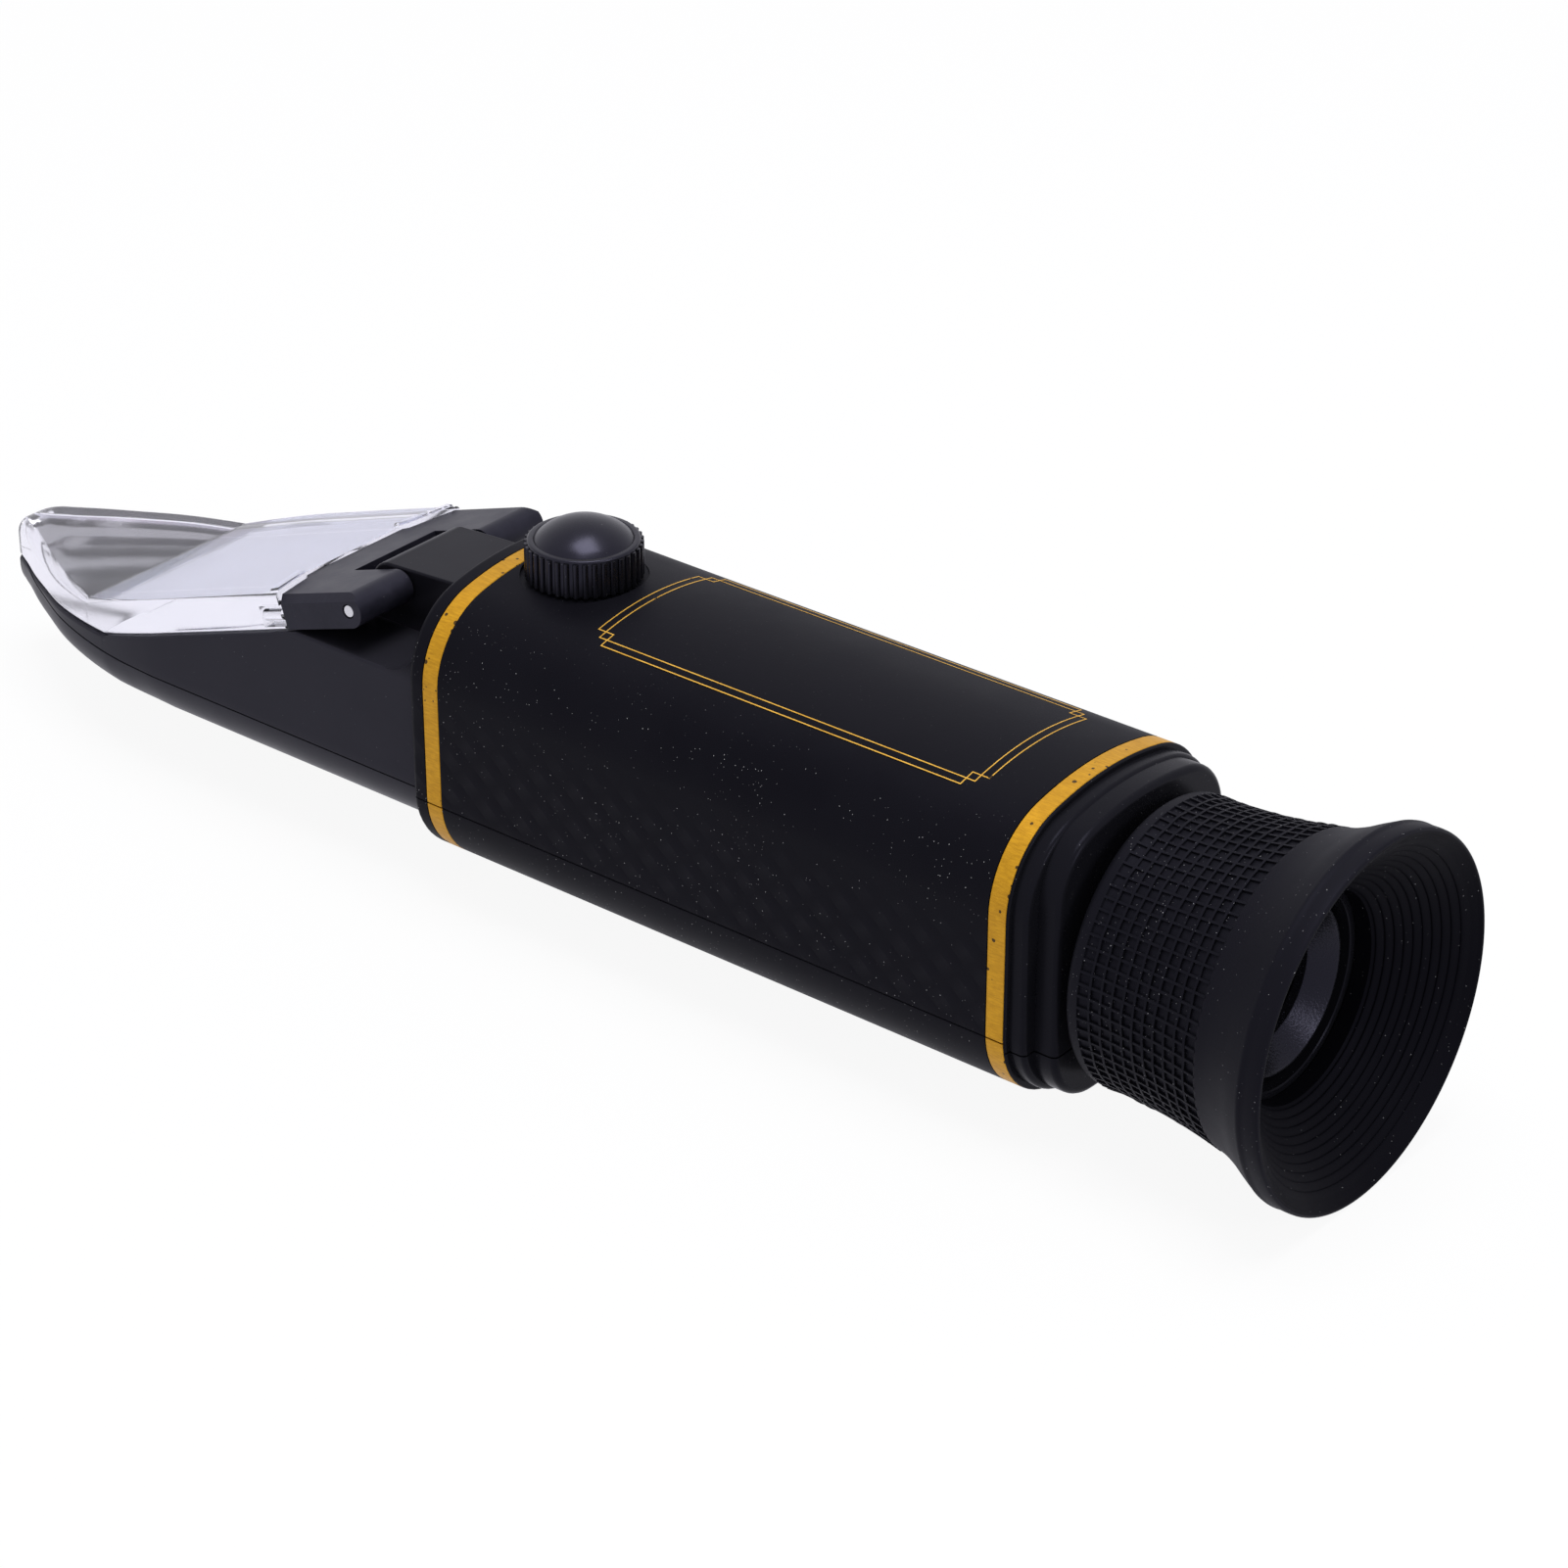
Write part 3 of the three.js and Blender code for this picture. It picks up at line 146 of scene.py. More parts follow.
def lofted(name, rings):
    """A closed mesh through rings of equally many points, with flat ends."""
    count = len(rings[0])
    faces = []
    for r in range(len(rings) - 1):
        for i in range(count):
            a, b = r * count + i, r * count + (i + 1) % count
            faces.append((a, b, b + count, a + count))
    last = (len(rings) - 1) * count
    faces.append(tuple(reversed(range(count))))
    faces.append(tuple(last + i for i in range(count)))
    return mesh_object(name, placed(np.concatenate([np.array(r, float) for r in rings])), faces)


def arc(centre, radius, start, end, steps):
    turns = np.radians(np.linspace(start, end, steps + 1))
    return [(centre[0] + radius * math.cos(t), centre[1] + radius * math.sin(t)) for t in turns]


def circle(radius, sides=24, centre=(0, 0)):
    return arc(centre, radius, 0, 360 - 360 / sides, sides - 1)


def grip_section(inset, drop=None, steps=14):
    """The grip's cross-section in y and z, drawn in by an inset: flat belly, round corners, crowned top."""
    drop = inset if drop is None else drop
    half, top, crown = GRIP_WIDTH / 2 - inset, GRIP_HEIGHT - drop, CROWN_RADIUS - drop
    upper, lower = max(TOP_CORNER - inset, 0.5), max(BELLY_CORNER - inset, 0.5)
    centre = top - crown
    y = half - upper
    z = centre + math.sqrt((crown - upper) ** 2 - y ** 2)
    turn = math.degrees(math.atan2(z - centre, y))
    points = arc((half - lower, drop + lower), lower, -90, 0, steps)
    points += arc((y, z), upper, 0, turn, steps)
    points += arc((0, centre), crown, turn, 180 - turn, steps * 2)[1:-1]
    points += arc((-y, z), upper, 180 - turn, 180, steps)
    points += arc((lower - half, drop + lower), lower, 180, 270, steps)
    return points


def section_loft(name, stations):
    """A body along x through grip sections; each station is (x, inset) or (x, inset, drop)."""
    return lofted(name, [[(s[0], y, z) for y, z in grip_section(*s[1:])] for s in stations])


def fillet(x, inset, radius, side, steps=5):
    """Stations that round an edge of a section body at x; side is -1 at its front end and 1 at its rear."""
    rows = []
    for i in range(steps + 1):
        t = math.radians(90 * i / steps)
        rows.append((x - side * radius * (1 - math.sin(t)), inset + radius * (1 - math.cos(t))))
    return rows if side > 0 else rows[::-1]


def extruded(name, outline, low, high, axis, lean=None, bevel=0.0, segments=3, angle=40):
    """A flat outline drawn out along an axis; a lean turns it about the hinge pin, where it is centred."""
    order = {"x": (2, 0, 1), "y": (0, 2, 1), "z": (0, 1, 2)}[axis]
    rings = []
    for depth in (low, high):
        ring = [tuple((*p, depth)[k] for k in order) for p in outline]
        if lean is not None:
            ring = [(PIN_X + x * math.cos(lean) - z * math.sin(lean), y,
                     PIN_Z + x * math.sin(lean) + z * math.cos(lean)) for x, y, z in ring]
        rings.append(ring)
    piece = lofted(name, rings)
    return bevelled(piece, bevel, segments, angle) if bevel else piece


def block(name, x, y, z, **more):
    return extruded(name, [(x[0], y[0]), (x[1], y[0]), (x[1], y[1]), (x[0], y[1])], *z, "z", **more)


HAIR, AXIS = 0.0001, 0.0002


def turned(name, profile, x=None, sides=96, angle=30.0):
    """A turned body. On the optical axis each point is (x, radius); upright over x it is (height, radius)."""
    rings = []
    closed = profile[0] == profile[-1]
    for along, radius in profile[:-1] if closed else profile:
        ring = []
        for i in range(sides):
            t = 2 * math.pi * i / sides
            across, up = radius * math.sin(t), radius * math.cos(t)
            ring.append((along, across, AXIS_HEIGHT + up) if x is None else (x + up, across, along))
        rings.append(ring)
    faces = []
    count = len(rings)
    for r in range(count if closed else count - 1):
        s = (r + 1) % count
        if max(profile[r][1], profile[s][1]) < AXIS:
            continue
        faces += [(r * sides + i, r * sides + (i + 1) % sides, s * sides + (i + 1) % sides, s * sides + i)
                  for i in range(sides)]
    return mesh_object(name, placed(np.concatenate(rings)), faces, angle)


def eased(at, table):
    """The value at a place, along a smooth curve through a table of (place, value)."""
    places, values = (np.array(column, float) for column in zip(*table))
    slopes = np.gradient(values, places)
    k = int(np.clip(np.searchsorted(places, at) - 1, 0, len(places) - 2))
    span = places[k + 1] - places[k]
    t = min(max((at - places[k]) / span, 0), 1)
    return ((1 + 2 * t) * (1 - t) ** 2 * values[k] + t * (1 - t) ** 2 * span * slopes[k]
            + t * t * (3 - 2 * t) * values[k + 1] + t * t * (t - 1) * span * slopes[k + 1])


def outline_share(x, tip_round=0.9):
    """Half width of the bow as a share of the full one, with its very tip rounded."""
    share = eased(min(max((x - NOSE_TIP) / NOSE_TAPER, 0), 1), NOSE_OUTLINE)
    inward = min(max((x - NOSE_TIP) / tip_round, 0.03), 1)
    return share * math.sqrt(1 - (1 - inward) ** 2)


def roof_height(x):
    if x < NOSE_BEND:
        return ROOF_TIP + (ROOF_BEND - ROOF_TIP) * (x - NOSE_TIP) / (NOSE_BEND - NOSE_TIP)
    return min(ROOF_BEND + FACET * (x - NOSE_BEND), FLOOR_HEIGHT)


def both_sides(x, right):
    """A closed section at x, from its right half and that half's mirror image."""
    return [(x, y, z) for y, z in right + [(-y, z) for y, z in reversed(right)]]


def nose_ring(x, steps=12, edge=0.3):
    share = outline_share(x)
    half, roof = NOSE_HALF * share, roof_height(x)
    belly = SEAM_HEIGHT - 5.6 * (0.45 + 0.55 * share)
    across = 6.7 / NOSE_HALF * half
    rise = min(6.7, 0.75 * (roof - belly))
    edge = min(edge, half / 3)
    right = []
    for i in range(steps + 1):
        t = math.pi / 2 * i / steps
        right.append((half - across + across * math.sin(t), belly + rise - rise * math.cos(t)))
    return both_sides(x, right + arc((half - edge, roof - edge), edge, 0, 90, 4))


def nose_loft(name):
    taper = [NOSE_TIP + NOSE_TAPER * s for s in np.linspace(0, 1, 49) ** 2.2]
    rest = list(np.linspace(NOSE_TIP + NOSE_TAPER, -15.4, 12)) + [-15.19, -15.0, -7.0, 1.0]
    stations = sorted(set(taper + [NOSE_BEND - 0.4, NOSE_BEND, NOSE_BEND + 0.4] + rest))
    return lofted(name, [nose_ring(x) for x in stations])


def bore(x, low, high, radius, sides=64):
    """An upright round cutter over x."""
    return turned("cutter", [(low, HAIR), (low, radius), (high, radius), (high, HAIR)], x, sides)


def seam_half(sign):
    main = SEAM_HEIGHT + sign * SEAM_GAP / 2
    rear, far = main - COLLAR_SEAM_DROP, GRIP_HEIGHT + 2 if sign > 0 else -1
    outline = [(-66, main), (65.95, main), (65.95, rear), (71, rear), (71, far), (-66, far)]
    return extruded("cutter", outline, -GRIP_WIDTH, GRIP_WIDTH, "y")


stations = fillet(0, 0, 0.7, -1)
for start in (FRONT_STRIPE, REAR_STRIPE):
    a, b = start - 0.06, start + STRIPE_WIDTH + 0.06
    stations += [(a, 0), (a, STRIPE_DEPTH), (b, STRIPE_DEPTH), (b, 0)]
stations += fillet(GRIP_LENGTH, 0, 0.18, 1, 3)
housing = section_loft("housing", stations)
wide = section_loft("wide", [(GRIP_LENGTH - 1, WIDE_INSET)] + fillet(WIDE_REAR, WIDE_INSET, 0.5, 1))
narrow_end = [(x, inset, inset - NARROW_INSET + NARROW_DROP)
              for x, inset in fillet(COLLAR_REAR, NARROW_INSET, 0.6, 1)]
narrow = section_loft("narrow", [(GRIP_LENGTH, NARROW_INSET, NARROW_DROP)] + narrow_end)
nose = nose_loft("nose")
cove_top = FLOOR_HEIGHT + COVE
cove_outline = arc((-COVE, cove_top), COVE, 0, -90, 14) + [(-COVE, FLOOR_HEIGHT - 1)]
cove = extruded("cove", [(1, FLOOR_HEIGHT - 1), (1, cove_top)] + cove_outline, -NOSE_HALF, NOSE_HALF, "y")
combined(cove, section_loft("keep", [(-5, 1.3), (2, 1.3)]), how="INTERSECT")
block_nose = arc((BLOCK_FRONT + BLOCK_ROUND, BLOCK_TOP_FRONT - BLOCK_ROUND), BLOCK_ROUND, 180, 96, 10)
block_outline = [(BLOCK_FRONT, FLOOR_HEIGHT - 1.5)] + block_nose + [(1, BLOCK_TOP_REAR), (1, FLOOR_HEIGHT - 1.5)]
hinge_block = extruded("block", block_outline, -BLOCK_HALF, BLOCK_HALF, "y", bevel=0.25, segments=3, angle=50)
combined(housing, wide, narrow, nose, cove, hinge_block, how="UNION")

prism_front, prism_rear = NOSE_BEND + 1.4, -18.5


def prism_top(x):
    return ROOF_BEND + FACET * (x - NOSE_BEND) - 0.15


pocket_outline = [
    (prism_front - 1.6, prism_top(prism_front - 1.6) + 1), (prism_rear + 1.6, prism_top(prism_rear + 1.6) + 1),
    (prism_rear + 1.6, ROOM_FLOOR), (-38.6, ROOM_FLOOR), (-38.6, 4.4),
    (prism_front - 1.6, prism_top(prism_front) - 1.3)]
SCREW_SIDE, SCREW_WELL, SCREW_SINK = 8.8, 1.82, 3.4
screw_spots = [(GRIP_LENGTH * share, side * SCREW_SIDE) for share in (0.3, 0.82) for side in (-1, 1)]
rooms = [
    section_loft("hollow", [(WALL, WALL), (63.8, WALL)]),
    turned("bore", [(FLANGE_FRONT, HAIR), (FLANGE_FRONT, 8.9), (71, 8.9), (71, HAIR)]),
    turned("flange", [(FLANGE_FRONT, HAIR), (FLANGE_FRONT, 10.5), (64.55, 10.5), (64.55, HAIR)]),
    extruded("pocket", pocket_outline, -ROOM_HALF, ROOM_HALF, "y"),
    block("tail", (prism_rear, prism_rear + 3.2), (-ROOM_HALF, ROOM_HALF), (ROOM_FLOOR, ROOM_TOP)),
    block("channel", (prism_rear, 3.0), (-CHANNEL_HALF, CHANNEL_HALF), (5.7, ROOM_TOP)),
    extruded("pin_hole", circle(0.65), -14, 14, "y", lean=0.0),
    bore(CAP_X, 26.75, 28.2, 5.72, 96), bore(CAP_X, 22.7, 27.2, 3.02)]
combined(housing, *rooms)
for x, y in screw_spots:
    head = bore(x, -1, SCREW_SINK, SCREW_WELL, 32)
    head.data.transform(Matrix.Translation((0, y * MM, 0)))
    combined(housing, head)

upper = combined(new_object("upper_shell", housing.data.copy()), seam_half(1), how="INTERSECT")
lower = combined(new_object("lower_shell", housing.data.copy()), seam_half(-1), how="INTERSECT")
bpy.data.objects.remove(housing)


class Nodes:
    """A material or node group under construction."""

    def __init__(self, tree):
        self.tree = tree

    def add(self, kind, inputs=None, **settings):
        node = self.tree.nodes.new(kind)
        for key, value in settings.items():
            setattr(node, key, value)
        for key, value in (inputs or {}).items():
            socket = node.inputs[key]
            if isinstance(value, bpy.types.NodeSocket):
                self.tree.links.new(value, socket)
            else:
                socket.default_value = value
        return node

    def first(self, kind, inputs=None, **settings):
        return self.add(kind, inputs, **settings).outputs[0]

    def math(self, how, a, b=0.0, clamp=False):
        return self.first("ShaderNodeMath", {0: a, 1: b}, operation=how, use_clamp=clamp)

    def times(self, a, b, clamp=False):
        return self.math("MULTIPLY", a, b, clamp)

    def parts(self, vector):
        return self.add("ShaderNodeSeparateXYZ", {0: vector}).outputs

    def vector(self, x=0.0, y=0.0, z=0.0):
        return self.first("ShaderNodeCombineXYZ", {0: x, 1: y, 2: z})

    def by_height(self, stops):
        """A ramp over height, with 0 to 30 mm brought to 0 to 1."""
        return self.ramp(self.times(self.parts(self.place)[2], 33.0, True), stops)

    def ramp(self, value, stops):
        node = self.add("ShaderNodeValToRGB", {0: value})
        marks = node.color_ramp.elements
        while len(marks) < len(stops):
            marks.new(0.5)
        for mark, (place, tint) in zip(marks, stops):
            mark.position = place
            mark.color = (*tint, 1) if isinstance(tint, tuple) else (tint, tint, tint, 1)
        return node.outputs[0]

    def noise(self, scale, detail=3.0, rough=0.5, where=None):
        where = self.place if where is None else where
        return self.first("ShaderNodeTexNoise", {
            "Vector": where, "Scale": scale, "Detail": detail, "Roughness": rough})

    def stretched(self, scale, turn=(0, 0, 0)):
        return self.first("ShaderNodeMapping", {"Vector": self.place, "Scale": scale, "Rotation": turn})

    def mix(self, factor, a, b):
        node = self.add("ShaderNodeMix", {0: factor}, data_type="RGBA")
        for key, value in ((6, a), (7, b)):
            if isinstance(value, bpy.types.NodeSocket):
                self.tree.links.new(value, node.inputs[key])
            else:
                node.inputs[key].default_value = (*value, 1)
        return node.outputs[2]

    def bump(self, height, strength, distance, normal=None):
        inputs = {"Height": height, "Strength": strength, "Distance": distance}
        if normal is not None:
            inputs["Normal"] = normal
        return self.first("ShaderNodeBump", inputs)

    def lint(self, amount):
        """White dust: small round specks and short stretched fibres, on a few of many cells."""
        total = None
        drift = self.ramp(self.noise(75.0, 2.0), [(0.35, 0.12), (0.68, 1.0)])
        for scale, stretch, turn, reach, share in (
                (1050, (1, 1, 1), (0, 0, 0), 0.047, 0.34), (2700, (1, 1, 1), (0.4, 0, 0), 0.104, 1.3),
                (620, (0.16, 1, 1), (0.3, 0.9, 0.4), 0.022, 0.7), (660, (1, 0.16, 1), (0.8, 0.2, 1.1), 0.021, 0.7),
                (700, (1, 1, 0.14), (1.9, 0.6, 0.3), 0.021, 0.7)):
            cells = self.add("ShaderNodeTexVoronoi", {"Vector": self.stretched(stretch, turn), "Scale": scale})
            near = self.math("LESS_THAN", cells.outputs["Distance"], reach)
            pick = self.add("ShaderNodeSeparateColor", {0: cells.outputs["Color"]}).outputs
            few = self.math("LESS_THAN", pick[0], self.times(drift, share * amount))
            bright = self.ramp(pick[1], [(0.0, 0.08), (0.6, 0.3), (1.0, 1.0)])
            here = self.times(self.times(near, few), bright)
            total = here if total is None else self.math("MAXIMUM", total, here)
        return total


def blank_nodes(owner):
    owner.use_nodes = True
    owner.node_tree.nodes.clear()
    return Nodes(owner.node_tree)


def material(name, **sockets):
    """A Principled material with its plain numbers set, and the Object coordinates to build on."""
    made = bpy.data.materials.new(name)
    nodes = blank_nodes(made)
    nodes.shader = nodes.add("ShaderNodeBsdfPrincipled", {
        k.replace("_", " "): v for k, v in sockets.items()})
    nodes.add("ShaderNodeOutputMaterial", {"Surface": nodes.shader.outputs[0]})
    nodes.place = nodes.add("ShaderNodeTexCoord").outputs["Object"]
    nodes.made = made
    return nodes


def wire(nodes, **sockets):
    for key, value in sockets.items():
        nodes.tree.links.new(value, nodes.shader.inputs[key.replace("_", " ")])
    return nodes.made


def finished(n, tone, spread, rough, grain, relief):
    """Closes a finish: its tone, a roughness that follows a noise, and a fine grain with its strength and depth."""
    if isinstance(grain, tuple):
        grain = n.noise(*grain)
    return wire(n, Base_Color=tone, Roughness=n.ramp(spread, rough), Normal=n.bump(grain, *relief))


def black(name, shine):
    return material(name, Specular_IOR_Level=shine, Specular_Tint=(0.72, 0.7, 1.0, 1.0))


DIAMOND, DIAMOND_SLOPE = 0.0021, 1.16


def soft_touch():
    n = black("soft_touch_black", 0.06)
    x, y, z = n.parts(n.place)
    side = n.by_height([(0.0, 0.0), (0.352, 0.0), (0.39, 1.0), (0.6, 0.8), (0.72, 0.0)])
    rise = n.times(z, DIAMOND_SLOPE)
    across = [n.math("PINGPONG", n.math("ADD", n.math(way, x, rise), 1.0), DIAMOND) for way in ("ADD", "SUBTRACT")]
    lozenge_relief_and_highlight = n.times(n.math("DIVIDE", n.times(*across), DIAMOND ** 2), side)
    fine = n.noise(6500.0, 3.0)
    blotch = n.noise(90.0, 4.0, 0.6)
    tone = n.mix(n.ramp(blotch, [(0.35, 0.0), (0.7, 1.0)]), (0.0032, 0.0031, 0.0045), (0.0047, 0.0046, 0.0064))
    # Painted highlight: the tops of the raised lozenges are mixed towards a lighter black, as light on them; the
    # same lozenge values also drive the bump.
    tone = n.mix(n.times(lozenge_relief_and_highlight, 0.4), tone, (0.0105, 0.0102, 0.0135))
    off_crown = n.by_height([(0.86, 1.0), (0.965, 0.08)])
    tone = n.mix(n.times(n.lint(0.75), off_crown), tone, (0.46, 0.46, 0.46))
    rough = n.ramp(blotch, [(0.3, 0.44), (0.75, 0.54)])
    relief = n.bump(fine, 0.25, 0.00002)
    return wire(n, Base_Color=tone, Roughness=rough, Normal=n.bump(lozenge_relief_and_highlight, 1.0, 0.00010, relief))


def satin_plastic():
    n = black("satin_black_plastic", 0.07)
    cloud = n.noise(160.0, 4.0)
    tone = n.mix(cloud, (0.0182, 0.0177, 0.0232), (0.0230, 0.0224, 0.0292))
    # Painted shade: satin faces from about 21 mm up, the top of the hinge block, are mixed towards a darker black,
    # so the top reads shaded.
    block_top_painted_shade = n.by_height([(0.70, 0.0), (0.76, 1.0)])
    tone = n.mix(block_top_painted_shade, tone, (0.0068, 0.0066, 0.0088))
    tone = n.mix(n.lint(0.16), tone, (0.16, 0.16, 0.17))
    return finished(n, tone, cloud, [(0.3, 0.3), (0.75, 0.38)], (5200.0, 2.0), (0.12, 0.00002))


def gloss_plastic():
    n = black("gloss_black_plastic", 0.05)
    cloud = n.noise(220.0, 3.0)
    tone = n.mix(cloud, (0.0056, 0.0056, 0.0074), (0.0078, 0.0078, 0.0102))
    tone = n.mix(n.lint(0.3), tone, (0.16, 0.16, 0.17))
    return finished(n, tone, cloud, [(0.3, 0.24), (0.8, 0.32)], (2600.0, 3.0), (0.1, 0.00002))


grip_finish, satin_finish, gloss_finish = soft_touch(), satin_plastic(), gloss_plastic()
for shell, node in ((upper, "upper_housing"), (lower, "lower_housing")):
    weighted(shell, 32)
    painted(shell, grip_finish, satin_finish, gloss_finish)
    for face in shell.data.polygons:
        x = (face.center.x - FRONT_FACE_X) / MM
        face.material_index = 1 if x < 0.02 else 2 if x > GRIP_LENGTH - 0.1 else 0
    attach(shell, "housing")
    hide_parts(node)

# ------------------------ gold stripes
# Two gold stripes let into the grip at its ends, hot-stamped foil on the moulding, broken at the seam.
# The foil has a fine brushed grain with small dark pits where it is worn.
def gold_foil(name, dark, light, worn_from):
    n = material(name, Metallic=0.45, Specular_IOR_Level=0.2)
    brushed = n.noise(900.0, 5.0, 0.7, n.stretched((1, 6, 6)))
    mottle = n.noise(420.0, 5.0, 0.65)
    tone = n.mix(n.ramp(brushed, [(0.3, 0.0), (0.72, 1.0)]), dark, light)
    tone = n.mix(n.ramp(mottle, [(0.42, 0.0), (0.75, 0.5)]), tone, (0.38, 0.18, 0.008))
    pits = n.add("ShaderNodeTexVoronoi", {"Vector": n.place, "Scale": 1250.0})
    near = n.math("LESS_THAN", pits.outputs["Distance"], n.times(mottle, 0.5))
    pick = n.add("ShaderNodeSeparateColor", {0: pits.outputs["Color"]}).outputs[1]
    worn = n.times(near, n.math("GREATER_THAN", pick, worn_from))
    tone = n.mix(worn, tone, (0.07, 0.038, 0.008))
    return finished(n, tone, mottle, [(0.3, 0.42), (0.8, 0.56)], brushed, (0.25, 0.00002))


gold = gold_foil("gold_foil", (0.42, 0.205, 0.008), (0.66, 0.345, 0.016), 0.55)
for name, start in (("front", FRONT_STRIPE), ("rear", REAR_STRIPE)):
    end = start + STRIPE_WIDTH
    band = section_loft("band", [(start, 0.06), (start + 0.06, 0.0), (end - 0.06, 0.0), (end, 0.06)])
    combined(band, section_loft("cutter", [(start - 1, 0.35), (end + 1, 0.35)]))
    for sign, part in ((1, "upper"), (-1, "lower")):
        stripe = new_object(f"gold_stripe_{name}_{part}", band.data.copy())
        combined(stripe, seam_half(sign), how="INTERSECT")
        weighted(stripe, 30)
        painted(stripe, gold)
        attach(stripe, "housing")
        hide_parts(f"{name}_stripe_{part}")
    bpy.data.objects.remove(band)

# ------------------------ gold frame on the crown
# A double line frame printed in gold on the crown: a plain rectangle laced through one with notched
# corners, both in thin lines that follow the curve of the crown.
FRAME_X = 37.7
LINE, LINE_RISE = 0.105, 0.025
notch_u, plain_u, far_u = 19.4, 20.27, 21.1
notch_v, plain_v, far_v = 6.64, 7.49, 8.28


def crown_height(y, rise=0.0):
    return GRIP_HEIGHT - CROWN_RADIUS + math.sqrt((CROWN_RADIUS + rise) ** 2 - y ** 2)


def printed_line(points):
    """A closed run of lines on the crown, as one flat ribbon with mitred corners."""
    points = np.array(points, float)
    count = len(points)
    before, after = points - np.roll(points, 1, 0), np.roll(points, -1, 0) - points
    before /= np.linalg.norm(before, axis=1)[:, None]
    after /= np.linalg.norm(after, axis=1)[:, None]
    side = lambda d: np.stack([-d[:, 1], d[:, 0]], 1)
    mitre = side(before) + side(after)
    mitre /= (mitre * side(after)).sum(1)[:, None]
    rows = []
    for k in range(count):
        a, b = points[k], points[(k + 1) % count]
        steps = 14 if abs(b[1] - a[1]) > 2 else 3
        for s in range(steps):
            t = s / steps
            at, out = a + (b - a) * t, mitre[k] if s == 0 else side(after)[k]
            corners = ((1, 0.004), (1, LINE_RISE), (-1, LINE_RISE), (-1, 0.004))
            rows.append([(at + out * w * LINE / 2, r) for w, r in corners])
    verts = [(FRAME_X + q[0], q[1], crown_height(q[1], r)) for row in rows for q, r in row]
    faces = []
    for k in range(len(rows)):
        j = (k + 1) % len(rows)
        faces += [(k * 4 + c, k * 4 + (c + 1) % 4, j * 4 + (c + 1) % 4, j * 4 + c) for c in range(4)]
    return verts, faces


gold_ink = gold_foil("gold_ink", (0.66, 0.36, 0.04), (0.86, 0.52, 0.09), 0.9)
rectangle = [(plain_u, plain_v), (-plain_u, plain_v), (-plain_u, -plain_v), (plain_u, -plain_v)]
notched = []
for su, sv in ((1, 1), (-1, 1), (-1, -1), (1, -1)):
    corner = [(su * far_u, sv * notch_v), (su * notch_u, sv * notch_v), (su * notch_u, sv * far_v)]
    notched += corner if su * sv > 0 else corner[::-1]
for name, run in (("gold_frame_plain", rectangle), ("gold_frame_notched", notched)):
    points, faces = printed_line(run)
    line = mesh_object(name, placed(points), faces, 40)
    painted(line, gold_ink)
    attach(line, "housing")

# ------------------------ prism and inner parts
# The sample lies on the top face of a glass wedge under the plate, set in a thin rubber frame. Behind
# it the housing holds the turned mounts, lenses, screw and bimetal strip, which keep the CAD's shapes
# and get their glass, rubber, brass, steel or black anodised finish here.
def optical_glass(name, glint):
    n = material(name, Transmission_Weight=1.0, IOR=1.52, Specular_IOR_Level=glint)
    haze = n.noise(300.0, 3.0)
    tone = n.mix(haze, (0.86, 0.9, 0.93), (0.93, 0.95, 0.97))
    return wire(n, Base_Color=tone, Roughness=n.ramp(haze, [(0.4, 0.01), (0.9, 0.05)]))


def rubber(name, low, high, dust, shine=0.085):
    n = black(name, shine)
    cloud = n.noise(130.0, 4.0)
    tone = n.mix(cloud, low, high)
    if dust:
        tone = n.mix(n.lint(dust), tone, (0.32, 0.32, 0.33))
    return finished(n, tone, cloud, [(0.3, 0.5), (0.8, 0.62)], (7000.0, 2.0), (0.2, 0.00003))


glass, coated_glass = optical_glass("optical_glass", 0.5), optical_glass("coated_glass", 0.12)
eye_rubber = rubber("eyecup_rubber", (0.0036, 0.0036, 0.0051), (0.0056, 0.0055, 0.0076), 1.0)
# Painted shade: a darker copy of the eyecup rubber for the faces inside the cup, as shade in the bell.
shaded_cup_rubber = rubber("eyecup_inside_painted_shade", (0.0020, 0.0020, 0.0030), (0.0034, 0.0033, 0.0047), 0.45, 0.04)
seal_rubber = rubber("seal_rubber", (0.004, 0.004, 0.005), (0.008, 0.008, 0.009), 0.0)


def dressed(node, finish):
    """Gives a carried-over CAD piece its finish, smooths its turned faces and keeps its edges."""
    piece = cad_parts[node]
    painted(piece, finish)
    merge = piece.modifiers.new("merge", "WELD")
    merge.merge_threshold = 2e-6
    piece.data.shade_smooth()
    piece.modifiers.new("edges", "EDGE_SPLIT").split_angle = math.radians(30)
    return piece


def machined(name, low, high, roughness, metallic=1.0):
    """Turned or rolled metal: fine rings about its own length, with a faint change of tone."""
    n = material(name, Metallic=metallic)
    rings = n.noise(1400.0, 4.0, 0.6, n.stretched((9, 1, 1)))
    tone = n.mix(rings, low, high)
    rough = [(0.3, roughness * 0.8), (0.8, roughness * 1.2)]
    return finished(n, tone, rings, rough, rings, (0.12, 0.00001))


